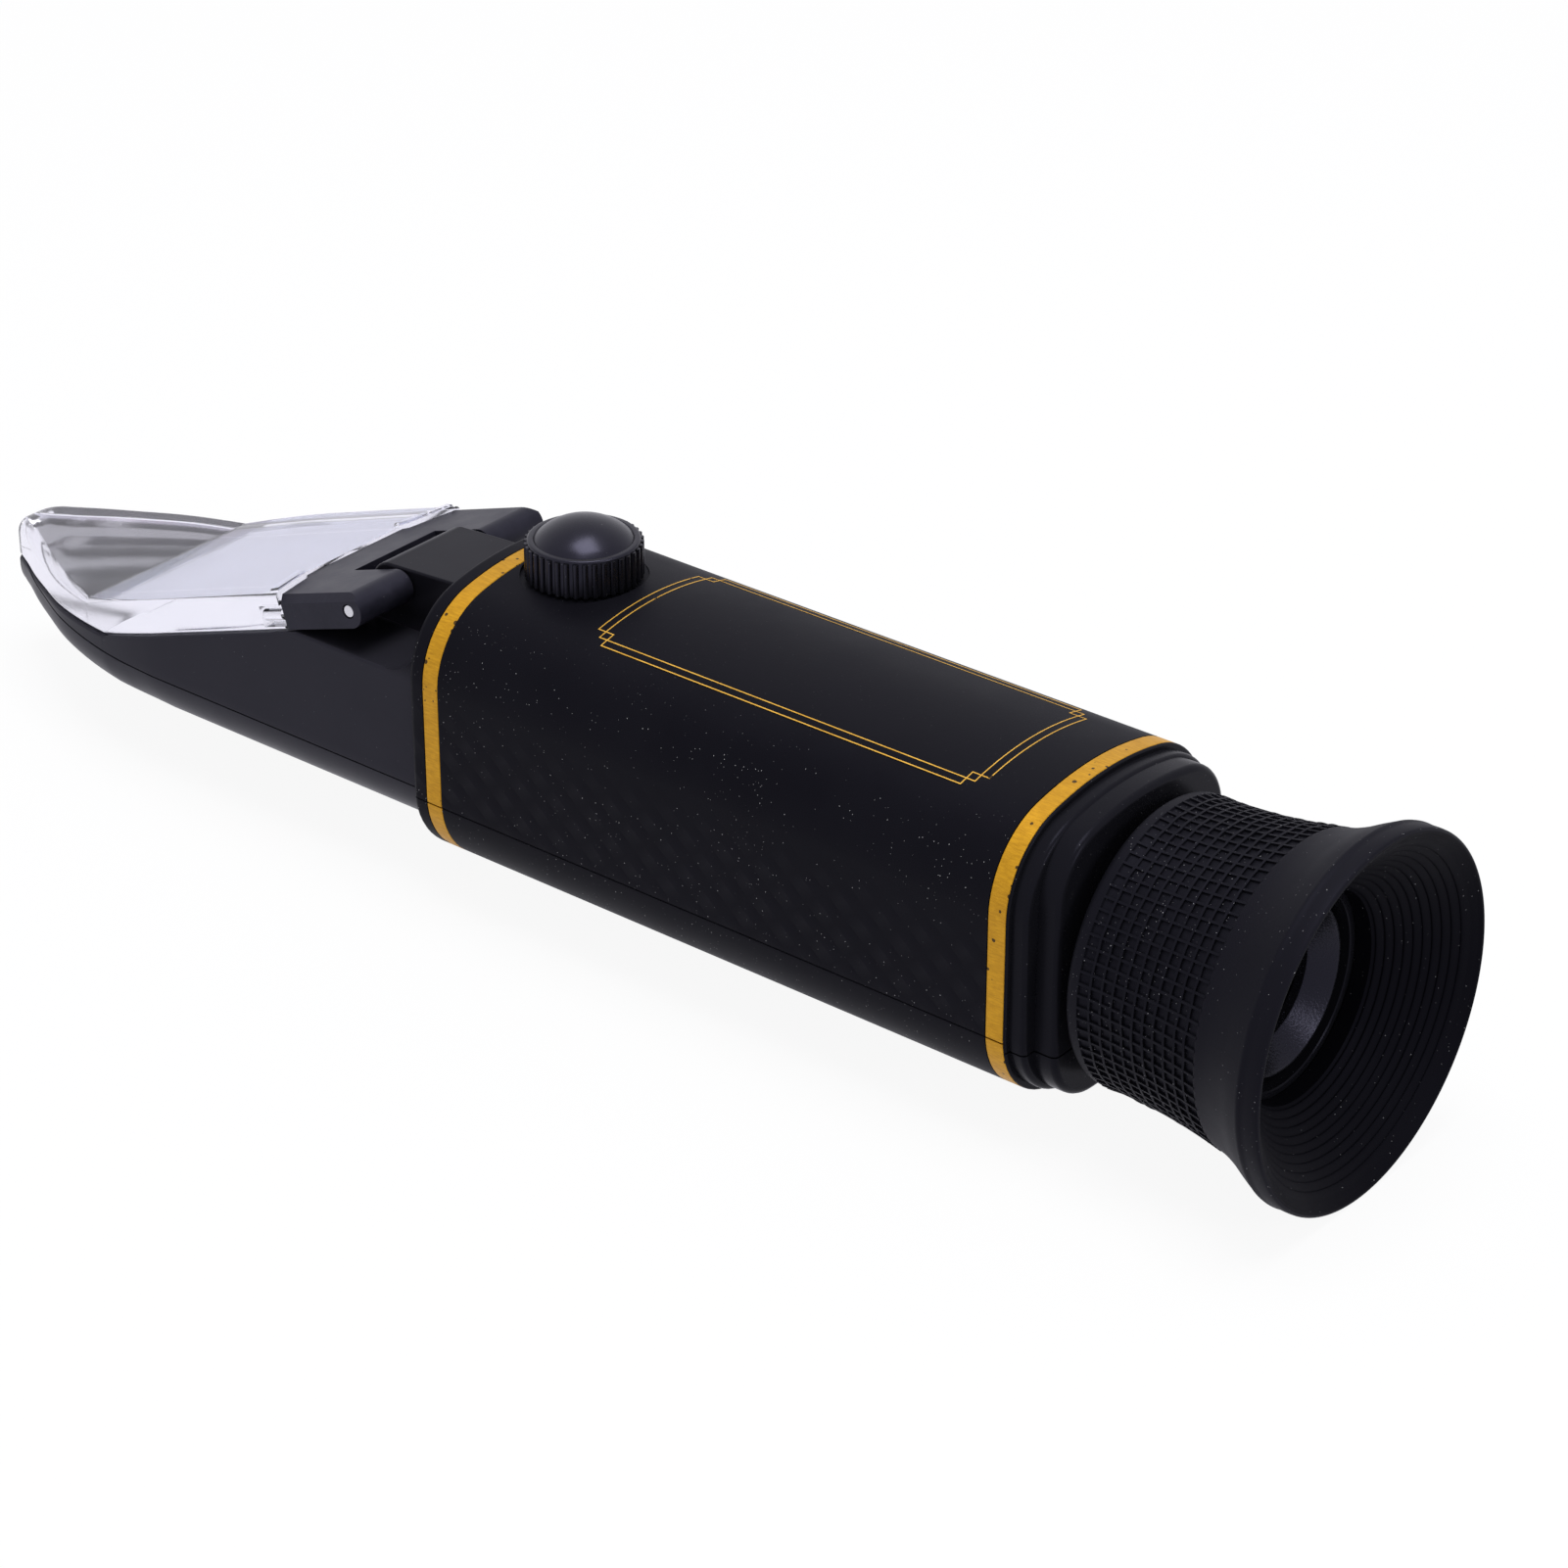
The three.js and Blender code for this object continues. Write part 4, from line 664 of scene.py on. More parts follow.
steel = machined("bright_steel", (0.55, 0.55, 0.57), (0.72, 0.72, 0.74), 0.28)
brass = machined("turned_brass", (0.48, 0.31, 0.085), (0.62, 0.42, 0.13), 0.3)
anodised = machined("black_anodised", (0.012, 0.012, 0.014), (0.022, 0.022, 0.025), 0.4, 0.6)
strip_metal = machined("rolled_bimetal", (0.32, 0.28, 0.22), (0.42, 0.38, 0.31), 0.36)
inner = [
    (("main_prism", "objective_lens", "reticle_disc", "field_lens"), glass),
    (("prism_gasket", "cap_seal", "focus_ring_seal"), seal_rubber),
    (("prism_seat", "strip_clamp", "light_baffle_front", "light_baffle_rear"), satin_finish),
    (("prism_retainer", "calibration_screw", "carriage_guide_left", "carriage_guide_right"), steel),
    (("calibration_bushing",), brass),
    (("lens_carriage", "objective_lens_ring", "reticle_holder", "reticle_ring", "lens_spacer"), anodised),
    (("bimetal_strip",), strip_metal)]
for nodes_named, finish in inner:
    for node in nodes_named:
        dressed(node, finish)

# ------------------------ hinge
# A black moulded bar straddles the hinge block and holds the plate's two lugs; it turns on a steel pin
# whose ends show in its sides.
BRACKET_HALF, HALF_THICK, NOTCH_HALF, LUG_SIDE, REACH = 12.1, 1.6, 5.3, 9.0, 11.0


def bracket_plan(gap, rear):
    """The bracket seen from above, with its narrower front edge, and grown by a gap."""
    half = BRACKET_HALF + gap
    right = [(-REACH - gap, 6.3), (-10.35 - gap, 6.6 + 0.6 * gap), (-8.7 - gap, half), (rear, half)]
    return [(-REACH - gap, -6.3)] + right + [(x, -y) for x, y in right[:0:-1]]


bar_outline = [(-REACH, -HALF_THICK)] + arc((0, 0), HALF_THICK, -90, 90, 16) + [(-REACH, HALF_THICK)]
bar = extruded("hinge_bar", bar_outline, -BRACKET_HALF, BRACKET_HALF, "y", lean=LEAN)
plan = extruded("plan", bracket_plan(0, 3), -5, 5, "z", lean=LEAN)
end_outline = [(-BRACKET_HALF, -5), (BRACKET_HALF, -5), (BRACKET_HALF, 0.9), (10.8, 2.2), (-10.8, 2.2),
               (-BRACKET_HALF, 0.9)]
slopes = extruded("slopes", end_outline, -20, 20, "x", lean=LEAN)
combined(bar, plan, slopes, how="INTERSECT")
notch = block("notch", (-5.6, 11), (-NOTCH_HALF, NOTCH_HALF), (-9, 9), lean=LEAN)
combined(bar, notch)
bevelled(bar, 0.22, 3, 35)
holes = [extruded("hole", circle(0.68), -14, 14, "y", lean=0.0)]
for side in (-1, 1):
    holes.append(extruded("hole", circle(1.0, 16, (side * LUG_SIDE, 0)), -12, -8.3, "x", lean=LEAN))
combined(bar, *holes)
weighted(bar, 35)
bar.name = "hinge_bar"


def bracket_plastic():
    n = black("bracket_plastic", 0.2)
    cloud = n.noise(260.0, 5.0, 0.6)
    tone = n.mix(n.ramp(cloud, [(0.35, 0.0), (0.7, 1.0)]), (0.0060, 0.0060, 0.0095), (0.0150, 0.0146, 0.0215))
    tone = n.mix(n.lint(0.15), tone, (0.14, 0.14, 0.15))
    return finished(n, tone, cloud, [(0.3, 0.36), (0.8, 0.5)], (1900.0, 4.0), (0.25, 0.00004))


painted(bar, bracket_plastic())
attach(bar, "daylight_cover")
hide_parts("hinge_bracket")
pin = extruded("steel_hinge_pin", circle(0.6, 32), 0.05 - BRACKET_HALF, BRACKET_HALF - 0.05, "y", lean=0.0,
               bevel=0.12, segments=3, angle=50)
smooth(pin, 40)
painted(pin, steel)
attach(pin, "housing")
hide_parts("hinge_pin")

# ------------------------ daylight plate
# A clear moulded plate that follows the nose: flat over the bow, bent up over the prism, with polished
# bevels, a frosted pad underneath where the sample is pressed, and two round lugs into the bracket.
PLATE_TIP, PLATE_BEND_TOP, PLATE_REAR = -64.75, -44.6, -16.6
TIP_DEPTH, TIP_LENGTH, TIP_DROP, PLATE_THICK, PLATE_GAP = 4.6, 3.4, 2.3, 3.6, 0.2


def plate_top(x):
    bend = ROOF_BEND + PLATE_GAP + PLATE_THICK - FACET * 2.7
    if x > PLATE_BEND_TOP:
        return bend + FACET * (x - PLATE_BEND_TOP)
    share = (x - PLATE_TIP) / (PLATE_BEND_TOP - PLATE_TIP)
    inward = max(1 - (x - PLATE_TIP) / TIP_LENGTH, 0)
    drop = TIP_DROP * (1 - math.sqrt(max(1 - inward ** 2, 0)))
    return ROOF_TIP + TIP_DEPTH + (bend - ROOF_TIP - TIP_DEPTH) * share - drop


def plate_ring(x):
    nearest = max(x, NOSE_TIP)
    half = max(NOSE_HALF * outline_share(nearest) - 0.12, 0.1)
    top, low = plate_top(x), roof_height(nearest) + PLATE_GAP
    edge = eased(x, [(PLATE_TIP, 1.5), (-56.0, 1.35), (-47.0, 0.8), (-42.0, 0.35), (PLATE_REAR, 0.35)])
    edge = min(edge, half * 0.6)
    foot = min(0.3, half / 3)
    right = arc((half - foot, low + foot), foot, -90, 0, 4)
    return both_sides(x, right + arc((half - edge, top - edge), edge, 0, 90, 8))


taper = [NOSE_TIP + NOSE_TAPER * s for s in np.linspace(0, 1, 61) ** 2.2]
bends = [PLATE_BEND_TOP - 0.3, PLATE_BEND_TOP, PLATE_BEND_TOP + 0.3, NOSE_BEND]
rest = [PLATE_TIP, -30.0, -26.0, -22.0, -19.0, PLATE_REAR + 1.0]
plate = lofted("clear_plate", [plate_ring(x) for x in sorted(set(taper + bends + rest))])
knuckle_outline = [(-12.1, 6.2), (-10.2, 6.2), (-8.3, 11.2), (-10.1, 11.9)]
for side in (-1, 1):
    outline = [(x, side * y) for x, y in knuckle_outline]
    combined(plate, extruded("knuckle", outline, 1.0, 2.2, "z", lean=LEAN, bevel=0.3), how="UNION")
combined(plate, extruded("behind", bracket_plan(0.25, 9), -20, 20, "z", lean=LEAN))
for side in (-1, 1):
    combined(plate, block("gap", (-11.8, -7), sorted((side * 10.9, side * 14)), (-1.3, 0.7), lean=LEAN))
    pegs = [extruded("lug", circle(0.9, 24, (side * LUG_SIDE, 0)), -12, -8.4, "x", lean=LEAN),
            extruded("peg", circle(0.55, 16, (side * 11.4, -0.3)), -12.0, -9.3, "x", lean=LEAN)]
    combined(plate, *pegs, how="UNION")
weighted(plate, 24)


def clear_plastic(name, rough, low, high):
    n = material(name, Transmission_Weight=0.99, IOR=1.49, Specular_IOR_Level=0.38)
    haze = n.noise(240.0, 4.0)
    tone = n.mix(n.ramp(n.noise(90.0, 1.0), [(0.35, 0.0), (0.65, 1.0)]), low, high)
    return finished(n, tone, haze, [(0.35, rough), (0.85, rough * 1.5)], (60.0, 2.0), (0.05, 0.0002))


# Painted shade: faces under the bow get a dark clear plastic, which darkens the bow as shade; its faintly differing
# reddish and bluish tints are a painted rainbow sheen.
painted(plate, clear_plastic("clear_plastic", 0.03, (0.90, 0.90, 0.95), (0.94, 0.94, 0.98)),
        clear_plastic("clear_plastic_bow_painted_shade", 0.11, (0.36, 0.31, 0.41), (0.30, 0.34, 0.42)))
for face in plate.data.polygons:
    under_bow = face.normal.z < -0.95 and face.center.x < FRONT_FACE_X + (NOSE_BEND - 0.2) * MM
    face.material_index = 1 if under_bow else 0
plate.name = "clear_daylight_plate"
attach(plate, "daylight_cover")
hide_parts("daylight_plate")

# ------------------------ frosted pad
# The underside of the plate is frosted over the prism, so that light enters the sample evenly: a thin
# etched skin, bent with the plate, with a fine bright border line.
PAD_FRONT, PAD_REAR, PAD_HALF = -45.0, -19.2, 11.2
PAD_LINE, PAD_FADE = 0.0078, 0.0595


def pad_ring(x, inset=0.0):
    half = min(PAD_HALF, NOSE_HALF * outline_share(x) - 0.9) - inset
    low = roof_height(x) + 0.05
    return [(x, -half, low), (x, half, low), (x, half, low + 0.12), (x, -half, low + 0.12)]


pad_places = [(PAD_FRONT, 0.7), (PAD_FRONT + 0.12, 0.35), (PAD_FRONT + 0.35, 0.1), (PAD_FRONT + 0.7, 0.0)]
pad_places += [(x, 0.0) for x in (-43.4, -42.6, NOSE_BEND, -40, -38, -36, -34, -30, -25)]
pad_places += [(PAD_REAR - 0.6, 0.0), (PAD_REAR - 0.2, 0.25), (PAD_REAR, 0.6)]
pad = lofted("frosted_pad", [pad_ring(*place) for place in pad_places])
smooth(pad, 40)


def frosted():
    n = material("frosted_pad", Specular_IOR_Level=0.4)
    cloud = n.noise(120.0, 3.0)
    tone = n.mix(cloud, (0.56, 0.58, 0.70), (0.62, 0.645, 0.77))
    x, y, z = n.parts(n.place)
    # Painted shade: the pad is mixed towards a darker grey over its front end, ahead of the prism, as shade where
    # no prism lies under it.
    painted_shade_fade = n.ramp(n.times(n.math("ADD", x, PAD_FADE), 200.0, True), [(0.0, 0.0), (1.0, 1.0)])
    tone = n.mix(painted_shade_fade, (0.36, 0.37, 0.43), tone)
    line = n.math("LESS_THAN", n.math("ABSOLUTE", n.math("SUBTRACT", n.math("ABSOLUTE", y), PAD_LINE)), 0.00009)
    tone = n.mix(line, tone, (0.86, 0.87, 0.95))
    return finished(n, tone, cloud, [(0.3, 0.55), (0.8, 0.7)], (6000.0, 2.0), (0.3, 0.00003))


painted(pad, frosted())
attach(pad, "daylight_cover")

# ------------------------ calibration cap
# A black moulded cap that screws down over the calibration screw: a ribbed ring for the fingers round
# a smooth dome. The ribs and the dome are one moulding with the ring.
CAP_BASE, CAP_RIM, RING_R, DOME_R, DOME_RISE, RIBS = 27.0, 30.55, 5.02, 4.37, 1.8, 38
dome_ball = (DOME_R ** 2 + DOME_RISE ** 2) / (2 * DOME_RISE)
cap_profile = [(CAP_BASE, 3.2), (CAP_BASE, RING_R - 0.1), (CAP_BASE + 0.1, RING_R), (CAP_RIM - 0.2, RING_R)]
cap_profile += [(CAP_RIM - 0.2 + 0.2 * math.sin(t), RING_R - 0.2 + 0.2 * math.cos(t))
                for t in np.radians((30, 60, 90))]
cap_profile += [(CAP_RIM, DOME_R + 0.12), (CAP_RIM - 0.08, DOME_R + 0.02)]
for i in range(1, 17):
    radius = DOME_R * (1 - i / 16)
    height = CAP_RIM + DOME_RISE - dome_ball + math.sqrt(dome_ball ** 2 - radius ** 2)
    cap_profile.append((height, max(radius, HAIR)))
cap_profile += [(29.9, HAIR), (29.9, 3.05), (28.0, 3.05), (28.0, 3.2), (CAP_BASE, 3.2)]
cap = turned("calibration_knob", cap_profile, CAP_X, 152, 34)


class Sockets(Nodes):
    """A Geometry Nodes tree with named inputs, applied to a piece and then taken off."""

    def __init__(self, name, **values):
        super().__init__(bpy.data.node_groups.new(name, "GeometryNodeTree"))
        face = self.tree.interface
        face.new_socket("Geometry", in_out="INPUT", socket_type="NodeSocketGeometry")
        kinds = {int: "NodeSocketInt", float: "NodeSocketFloat", tuple: "NodeSocketVector"}
        for key, value in values.items():
            kind = kinds.get(type(value), "NodeSocketMaterial")
            face.new_socket(key, in_out="INPUT", socket_type=kind)
        face.new_socket("Geometry", in_out="OUTPUT", socket_type="NodeSocketGeometry")
        self.values = values
        self.given = self.add("NodeGroupInput").outputs

    def shape(self, kind, **inputs):
        """What a geometry node gives; an underscore stands for a space in the name of its input."""
        return self.first("GeometryNode" + kind, {k.replace("_", " "): v for k, v in inputs.items()})

    def round_a_point(self, part, count, centre, axis):
        """Copies of a part, turned evenly round an axis through a point."""
        points = self.shape("Points", Count=count, Position=centre)
        turn = self.times(self.math("DIVIDE", self.shape("InputIndex"), count), 2 * math.pi)
        return self.shape("InstanceOnPoints", Points=points, Instance=part, Rotation=self.vector(**{axis: turn}))

    def apply(self, piece, geometry):
        real = self.shape("RealizeInstances", Geometry=geometry)
        self.add("NodeGroupOutput", {0: self.shape("SetMaterial", Geometry=real, Material=self.given["Finish"])})
        step = piece.modifiers.new("made", "NODES")
        step.node_group = self.tree
        for item in self.tree.interface.items_tree:
            if item.in_out == "INPUT" and item.name in self.values:
                step[item.identifier] = self.values[item.name]
        return baked(piece)


def cap_ribs(piece, finish):
    """Rounded ribs, stood evenly round the ring."""
    tree = Sockets("cap_ribs", Count=RIBS, Radius=RING_R * MM, Width=0.54 * MM, Height=3.2 * MM,
                   Depth=0.28 * MM, Centre=tuple(placed([(CAP_X, 0, 28.68)])[0]), Finish=finish)
    given = tree.given
    rib = tree.shape("MeshCylinder", Vertices=10, Radius=0.5, Depth=1.0)
    size = tree.vector(tree.times(given["Depth"], 2.0), given["Width"], given["Height"])
    rib = tree.shape("Transform", Geometry=rib, Scale=size)
    rib = tree.shape("Transform", Geometry=rib, Translation=tree.vector(given["Radius"]))
    return tree.apply(piece, tree.round_a_point(rib, given["Count"], given["Centre"], "z"))


def knob_plastic():
    n = black("knob_plastic", 0.32)
    cloud = n.noise(300.0, 3.0)
    tone = n.mix(cloud, (0.0026, 0.0026, 0.0032), (0.0040, 0.0040, 0.0050))
    tone = n.mix(n.lint(0.2), tone, (0.2, 0.2, 0.21))
    return finished(n, tone, cloud, [(0.3, 0.25), (0.8, 0.33)], (3000.0, 2.0), (0.12, 0.00002))


knob_finish = knob_plastic()
painted(cap, knob_finish)
ribs = cap_ribs(mesh_object("calibration_knob_ribs", [(0, 0, 0)], []), knob_finish)
smooth(ribs, 40)
for piece in (cap, ribs):
    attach(piece, "cap")
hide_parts("calibration_cap")

# ------------------------ rubber eyepiece grip
# One soft rubber moulding: a waisted sleeve with a raised square mesh for the fingers, and a flared
# eyecup with fine rings inside it, pressed over the barrel.
SLEEVE_FRONT, SLEEVE_REAR, THROAT, THROAT_R, BORE_R = 71.15, 93.0, 86.1, 9.27, 10.55
CUP_R, LIP = 16.5, 0.62
SLEEVE_OUTLINE = [
    (0.0, 12.3), (0.018, 12.68), (0.05, 12.84), (0.13, 12.79), (0.22, 12.88), (0.32, 13.02), (0.41, 13.23),
    (0.5, 13.52), (0.59, 13.88), (0.68, 14.33), (0.76, 15.05), (0.83, 15.88), (0.868, 16.3), (0.888, 16.5),
    (0.902, 16.44), (0.93, 16.47), (1.0, 16.46)]
NET_START, NET_END, NET_HOOPS, NET_LINES, NET_DEPTH = 72.6, 84.7, 12, 76, 0.19


def sleeve_radius(x):
    return eased((x - SLEEVE_FRONT) / (SLEEVE_REAR - SLEEVE_FRONT), SLEEVE_OUTLINE)


outside = []
for x in np.linspace(SLEEVE_FRONT + 0.25, SLEEVE_REAR - 1.1, 110):
    inside_net = NET_START < x < NET_END
    was_inside = bool(outside) and NET_START < outside[-1][0] < NET_END
    if inside_net != was_inside:
        edge = NET_START if inside_net else NET_END
        steps = [(edge - 0.03, sleeve_radius(edge)), (edge + 0.05, sleeve_radius(edge) - NET_DEPTH)]
        outside += steps if inside_net else [(edge - 0.05, steps[1][1]), (edge + 0.03, steps[0][1])]
    outside.append((x, sleeve_radius(x) - (NET_DEPTH if inside_net else 0.0)))
rim = arc((SLEEVE_REAR - 0.82, CUP_R - 0.34), 0.3, 80, -40, 8)
bell = []
for i in range(1, 145):
    share = i / 145
    x = SLEEVE_REAR - 0.75 + (THROAT - SLEEVE_REAR + 0.75) * share
    radius = (CUP_R - LIP) + (THROAT_R - CUP_R + LIP) * share ** 0.92
    wave = 0.24 * abs(math.sin(math.pi * (share - 0.08) / 0.0885)) if 0.08 < share < 0.965 else 0.0
    bell.append((x - wave * 0.3, radius - wave))
sleeve_profile = [(SLEEVE_FRONT, BORE_R), (SLEEVE_FRONT, 12.1), (SLEEVE_FRONT + 0.1, 12.28)] + outside + rim
sleeve_profile += bell + [(THROAT, THROAT_R), (84.6, THROAT_R), (84.6, BORE_R), (SLEEVE_FRONT, BORE_R)]
sleeve = turned("rubber_sleeve", sleeve_profile, None, 192, 28)
painted(sleeve, eye_rubber, shaded_cup_rubber)
# Inward faces in the eyecup take the darker copy of the rubber: painted shade inside the cup.
for face in sleeve.data.polygons:
    x, outward = (face.center.x - FRONT_FACE_X) / MM, face.center.copy()
    outward.x, outward.z = 0, outward.z - (BELLY_Z + AXIS_HEIGHT * MM)
    face.material_index = 1 if face.normal.dot(outward) < 0 and x > THROAT - 2 else 0
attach(sleeve, "eyepiece")
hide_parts("rubber_eyepiece_grip")


axis_z = placed([(0, 0, AXIS_HEIGHT)])[0][2]


def sleeve_net(piece, finish):
    """The mesh: hoops round the sleeve, and lines along it that follow its waist."""
    tree = Sockets("sleeve_mesh", Lines=NET_LINES, Width=0.27 * MM, Rise=0.22 * MM,
                   Axis=(0.0, 0.0, axis_z), Wander=0.26 * MM, Finish=finish)
    given = tree.given
    profile = tree.shape("CurvePrimitiveQuadrilateral", Width=given["Rise"], Height=given["Width"])
    radius = tree.first("GeometryNodeInputNamedAttribute", {"Name": "hoop"}, data_type="FLOAT")
    is_hoop = tree.math("GREATER_THAN", radius, 0.001)
    split = tree.add("GeometryNodeSeparateGeometry", {"Geometry": given["Geometry"], "Selection": is_hoop}).outputs
    ring = tree.shape("CurvePrimitiveCircle", Resolution=192, Radius=1.0)
    ring = tree.shape("Transform", Geometry=ring, Rotation=(0, math.pi / 2, 0))
    points = tree.shape("MeshToPoints", Mesh=split[0])
    hoops = tree.shape("InstanceOnPoints", Points=points, Instance=ring, Scale=tree.vector(1.0, radius, radius))
    hoops = tree.shape("CurveToMesh", Curve=tree.shape("RealizeInstances", Geometry=hoops), Profile_Curve=profile)
    line = tree.shape("MeshToCurve", Mesh=split[1])
    line = tree.shape("CurveToMesh", Curve=line, Profile_Curve=profile, Fill_Caps=True)
    spokes = tree.round_a_point(line, given["Lines"], given["Axis"], "x")
    both = tree.add("GeometryNodeJoinGeometry")
    for part in (spokes, hoops):
        tree.tree.links.new(part, both.inputs[0])
    place = tree.shape("InputPosition")
    wander = tree.add("ShaderNodeTexNoise", {"Vector": place, "Scale": 480.0, "Detail": 1.0}).outputs["Color"]
    wander = tree.first("ShaderNodeVectorMath", {0: wander, 1: (0.5, 0.5, 0.5)}, operation="SUBTRACT")
    wander = tree.first("ShaderNodeVectorMath", {0: wander, "Scale": given["Wander"]}, operation="SCALE")
    return tree.apply(piece, tree.shape("SetPosition", Geometry=both.outputs[0], Offset=wander))


def net_radius(x):
    return (sleeve_radius(x) - NET_DEPTH / 2) * MM


hoop_places = np.linspace(NET_START, NET_END, NET_HOOPS)[1:-1]
line_places = np.linspace(NET_START - 0.1, NET_END + 0.1, 25)
net_points = [(FRONT_FACE_X + x * MM, 0, axis_z) for x in hoop_places]
net_points += [(FRONT_FACE_X + x * MM, 0, net_radius(x)) for x in line_places]
net_mesh = bpy.data.meshes.new("net")
first = len(hoop_places)
net_mesh.from_pydata(net_points, [(first + i, first + i + 1) for i in range(len(line_places) - 1)], [])
hoop = net_mesh.attributes.new("hoop", "FLOAT", "POINT")
hoop.data.foreach_set("value", [net_radius(x) for x in hoop_places] + [0.0] * len(line_places))
net = sleeve_net(new_object("rubber_sleeve_mesh", net_mesh), eye_rubber)
smooth(net, 40)
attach(net, "eyepiece")

# ------------------------ eyepiece optics
# Inside the rubber a black metal tube carries the coated eye lens behind a moulded funnel. The tube
# turns and slides on the fixed socket in the rear wall.
barrel_profile = [
    (71.35, 8.7), (71.35, 10.3), (71.45, 10.4), (84.35, 10.4), (84.45, 10.3), (84.45, 8.8), (84.35, 8.7),
    (73.75, 8.7), (73.75, 9.6), (72.35, 9.6), (72.35, 8.7), (71.35, 8.7)]
barrel = turned("eyepiece_tube", barrel_profile, sides=128)
painted(barrel, gloss_finish)
cone_profile = [
    (81.7, 5.3), (81.7, 8.55), (82.9, 8.55), (83.0, 8.45), (83.0, 7.72), (83.12, 7.6), (84.2, 7.52), (84.3, 7.42),
    (84.3, 7.28), (84.2, 7.15), (84.1, 7.06), (82.6, 5.42), (82.48, 5.34), (81.7, 5.3)]
cone = turned("eye_funnel", cone_profile, sides=128)


def funnel_plastic():
    n = black("funnel_plastic", 0.22)
    grain = n.noise(5200.0, 3.0)
    tone = n.mix(n.noise(150.0), (0.0040, 0.0040, 0.0054), (0.0066, 0.0066, 0.0084))
    return finished(n, tone, grain, [(0.3, 0.24), (0.8, 0.32)], grain, (0.5, 0.00006))


painted(cone, funnel_plastic())
LENS_BACK, LENS_FRONT, LENS_R, LENS_BULGE = 79.95, 81.4, 8.5, 0.45
lens_face = [(LENS_BACK + LENS_BULGE * (i / 8) ** 2, LENS_R * i / 8) for i in range(1, 9)]
lens_profile = [(LENS_BACK, HAIR)] + lens_face + [(LENS_FRONT, LENS_R), (LENS_FRONT, HAIR)]
eye_lens = turned("eye_lens_glass", lens_profile)
painted(eye_lens, coated_glass)
for piece, node, slot in ((barrel, "eyepiece_barrel", "black_metal"), (cone, "eyepiece_cone", "hard_plastic"),
                          (eye_lens, "eye_lens", "optical_glass")):
    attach(piece, "eyepiece")
    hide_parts(node)
dressed("eyepiece_socket", gloss_finish)

# ------------------------ housing screws
# Four small cross-head screws of plated steel, driven from below into the upper shell. They hold the
# shells together, and their heads are sunk into the belly.
def housing_screws(piece, finish):
    tree = Sockets(
        "housing_screws", Head=1.7 * MM, Shank=0.85 * MM, Length=7.6 * MM, Rise=1.0 * MM, Finish=finish)
    given = tree.given
    head = tree.shape("MeshCone", Vertices=32, Radius_Top=given["Shank"], Radius_Bottom=given["Head"],
                      Depth=given["Rise"])
    shank = tree.shape("MeshCylinder", Vertices=24, Radius=given["Shank"], Depth=given["Length"])
    lift = tree.math("ADD", tree.math("DIVIDE", given["Length"], 2.0), tree.times(given["Rise"], 0.4))
    shank = tree.shape("Transform", Geometry=shank, Translation=tree.vector(z=lift))
    whole = tree.add("GeometryNodeMeshBoolean", operation="UNION", solver="EXACT")
    for part in (head, shank):
        tree.tree.links.new(part, whole.inputs[1])
    cross = tree.add("GeometryNodeMeshBoolean", {0: whole.outputs[0]}, operation="DIFFERENCE", solver="EXACT")
    for x, y in ((0.5, 2.0), (2.0, 0.5)):
        slot = tree.shape("MeshCube", Size=(x * MM, y * MM, 1.1 * MM))
        tree.tree.links.new(slot, cross.inputs[1])
    points = tree.shape("MeshToPoints", Mesh=given["Geometry"])
    return tree.apply(piece, tree.shape("InstanceOnPoints", Points=points, Instance=cross.outputs[0]))


screw_base = (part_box("housing_screw_front_right")[0].z - BELLY_Z) / MM
screws = mesh_object("housing_screws", placed([(x, y, screw_base + 0.05) for x, y in screw_spots]), [])
smooth(housing_screws(screws, steel), 30)
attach(screws, "housing")
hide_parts(*(f"housing_screw_{end}_{side}" for end in ("front", "rear") for side in ("left", "right")))

# ------------------------ floor, light and camera
# A plain white floor that keeps a soft shadow, a pale room and two soft square lamps. Rays from the
# camera and mirrored ones see the floor and the room as plain white.
floor = new_object("floor", bpy.data.meshes.new("floor"))
floor.data.from_pydata([(-30, -30, 0), (30, -30, 0), (30, 30, 0), (-30, 30, 0)], [], [(0, 1, 2, 3)])


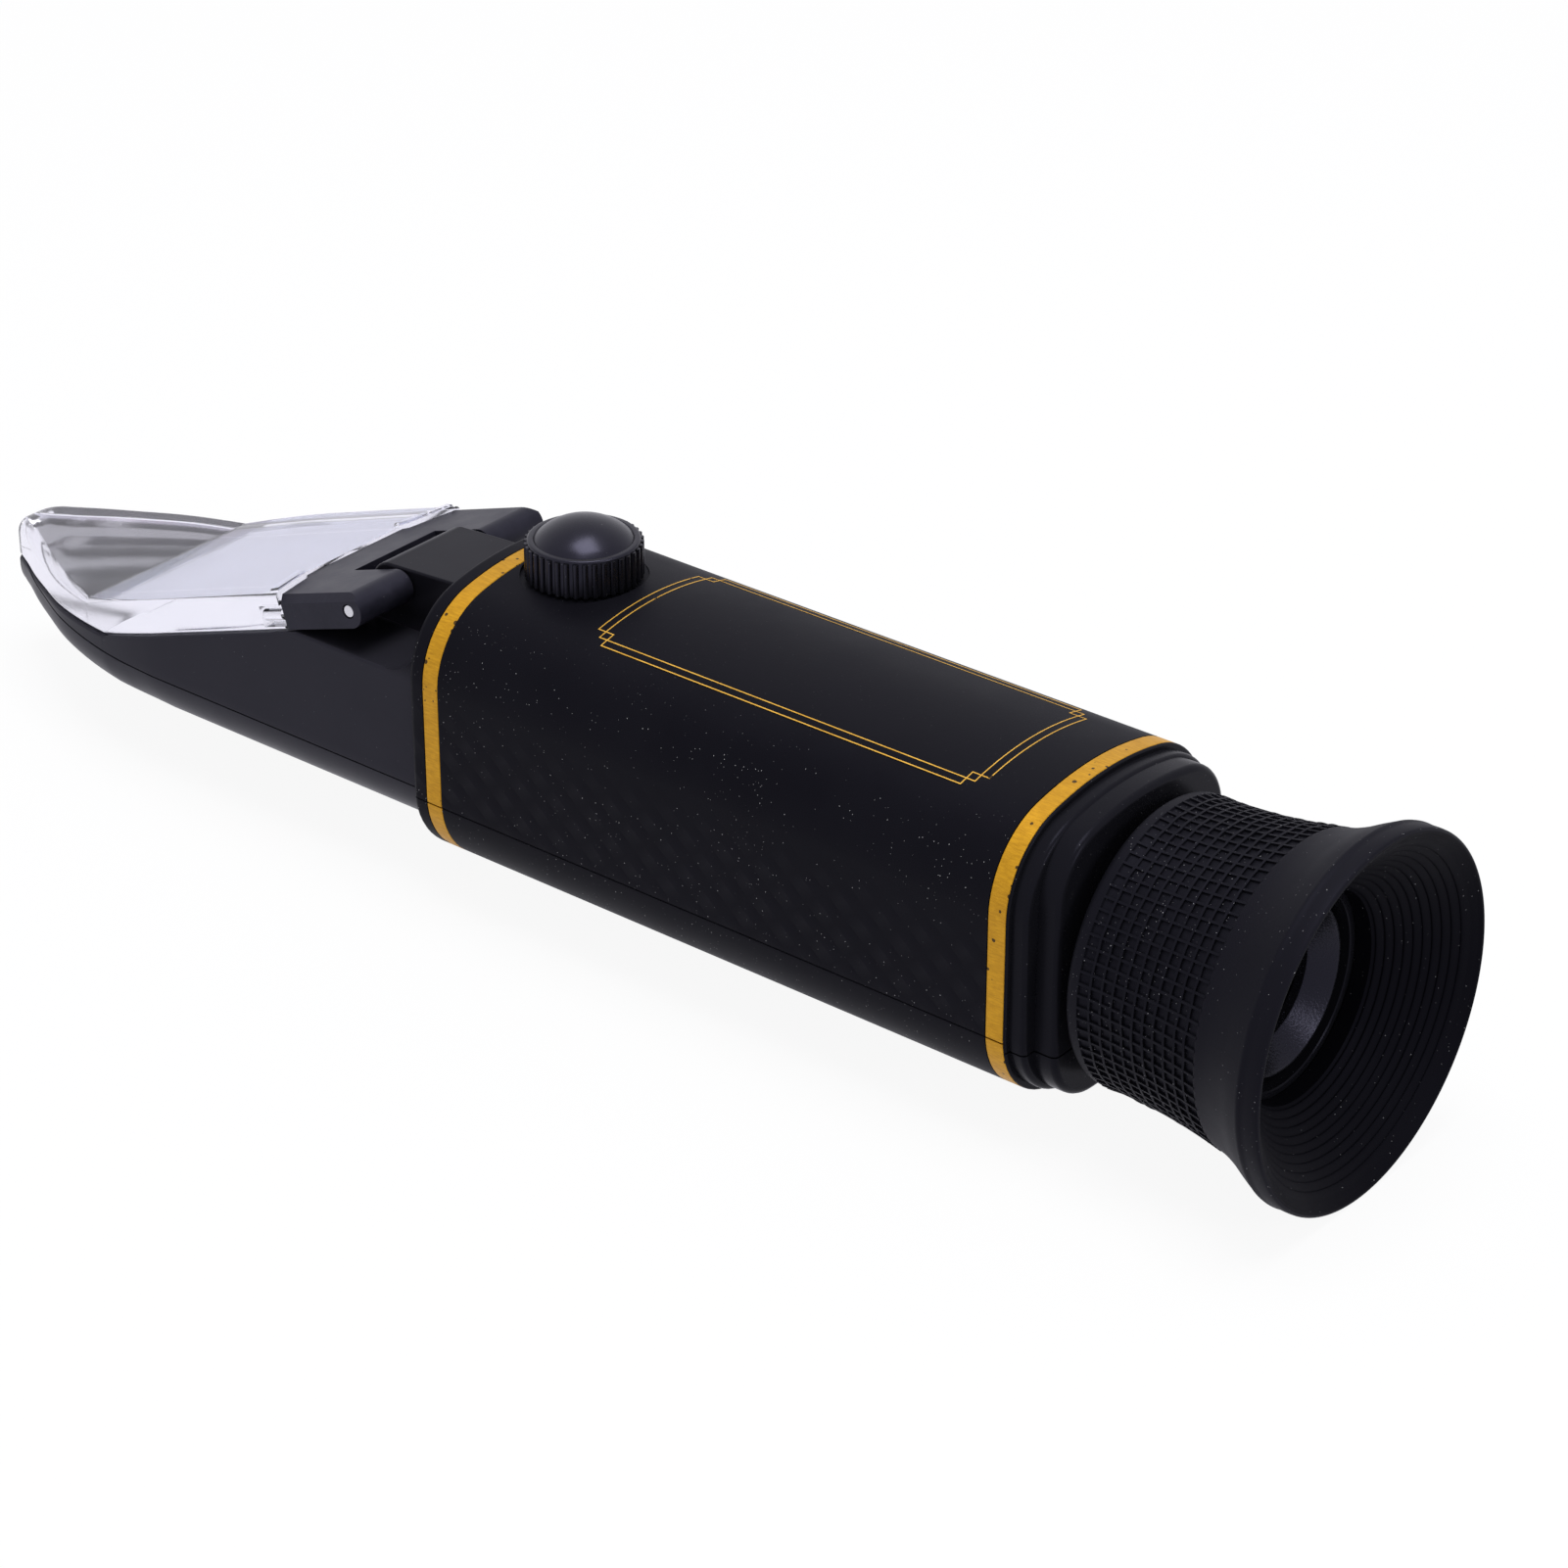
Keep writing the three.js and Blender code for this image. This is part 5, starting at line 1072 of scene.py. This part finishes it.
def seen_white(w):
    """How far a ray should see plain white: the camera's, mirrored and through-going ones do; and its tint."""
    rays = w.add("ShaderNodeLightPath").outputs
    mirrored = w.math("MAXIMUM", rays["Is Glossy Ray"], rays["Is Transmission Ray"])
    shows = w.math("MAXIMUM", rays["Is Camera Ray"], mirrored)
    return shows, w.mix(rays["Is Camera Ray"], (0.94, 0.93, 1.0), (1, 1, 1))


white = bpy.data.materials.new("floor_white")
w = blank_nodes(white)
shows, tint = seen_white(w)
matt = w.first("ShaderNodeBsdfDiffuse", {"Color": (0.85, 0.85, 0.86, 1)})
glow = w.first("ShaderNodeEmission", {"Color": tint, "Strength": 1.0})
blend = w.first("ShaderNodeMixShader", {0: w.times(shows, 0.92), 1: matt, 2: glow})
w.add("ShaderNodeOutputMaterial", {"Surface": blend})
painted(floor, white)

world = bpy.data.worlds.new("studio")
bpy.context.scene.world = world
w = blank_nodes(world)
shows, tint = seen_white(w)
strength = w.math("ADD", 0.55, w.times(shows, 0.45))
sky = w.first("ShaderNodeBackground", {"Color": tint, "Strength": strength})
w.add("ShaderNodeOutputWorld", {"Surface": sky})


def lamp(name, place, aim, size, power):
    light = bpy.data.lights.new(name, "AREA")
    light.shape, light.size, light.energy = "SQUARE", size, power
    made = new_object(name, light)
    made.location = place
    made.rotation_euler = (Vector(aim) - Vector(place)).to_track_quat("-Z", "Y").to_euler()


lamp("key", (0.08, -0.03, 0.85), (0, 0, 0.015), 0.46, 5.0)
lamp("fill", (0.74, -0.02, 0.36), (0.07, 0, 0.015), 0.22, 1.2)

camera = new_object("camera", bpy.data.cameras.new("camera"))
bpy.context.scene.camera = camera
camera.data.sensor_width, camera.data.lens, camera.data.clip_start = 36.0, 106.825, 0.01
right, up, painted_shade_fade = (0.77280, 0.63465, 0), (-0.30524, 0.37168, 0.87674), (0.55643, -0.67754, 0.48096)
turn = Matrix((right, up, painted_shade_fade)).transposed().to_4x4()
camera.matrix_world = Matrix.Translation((0.241844, -0.272983, 0.210945)) @ turn
bpy.context.scene.view_settings.view_transform = "Standard"
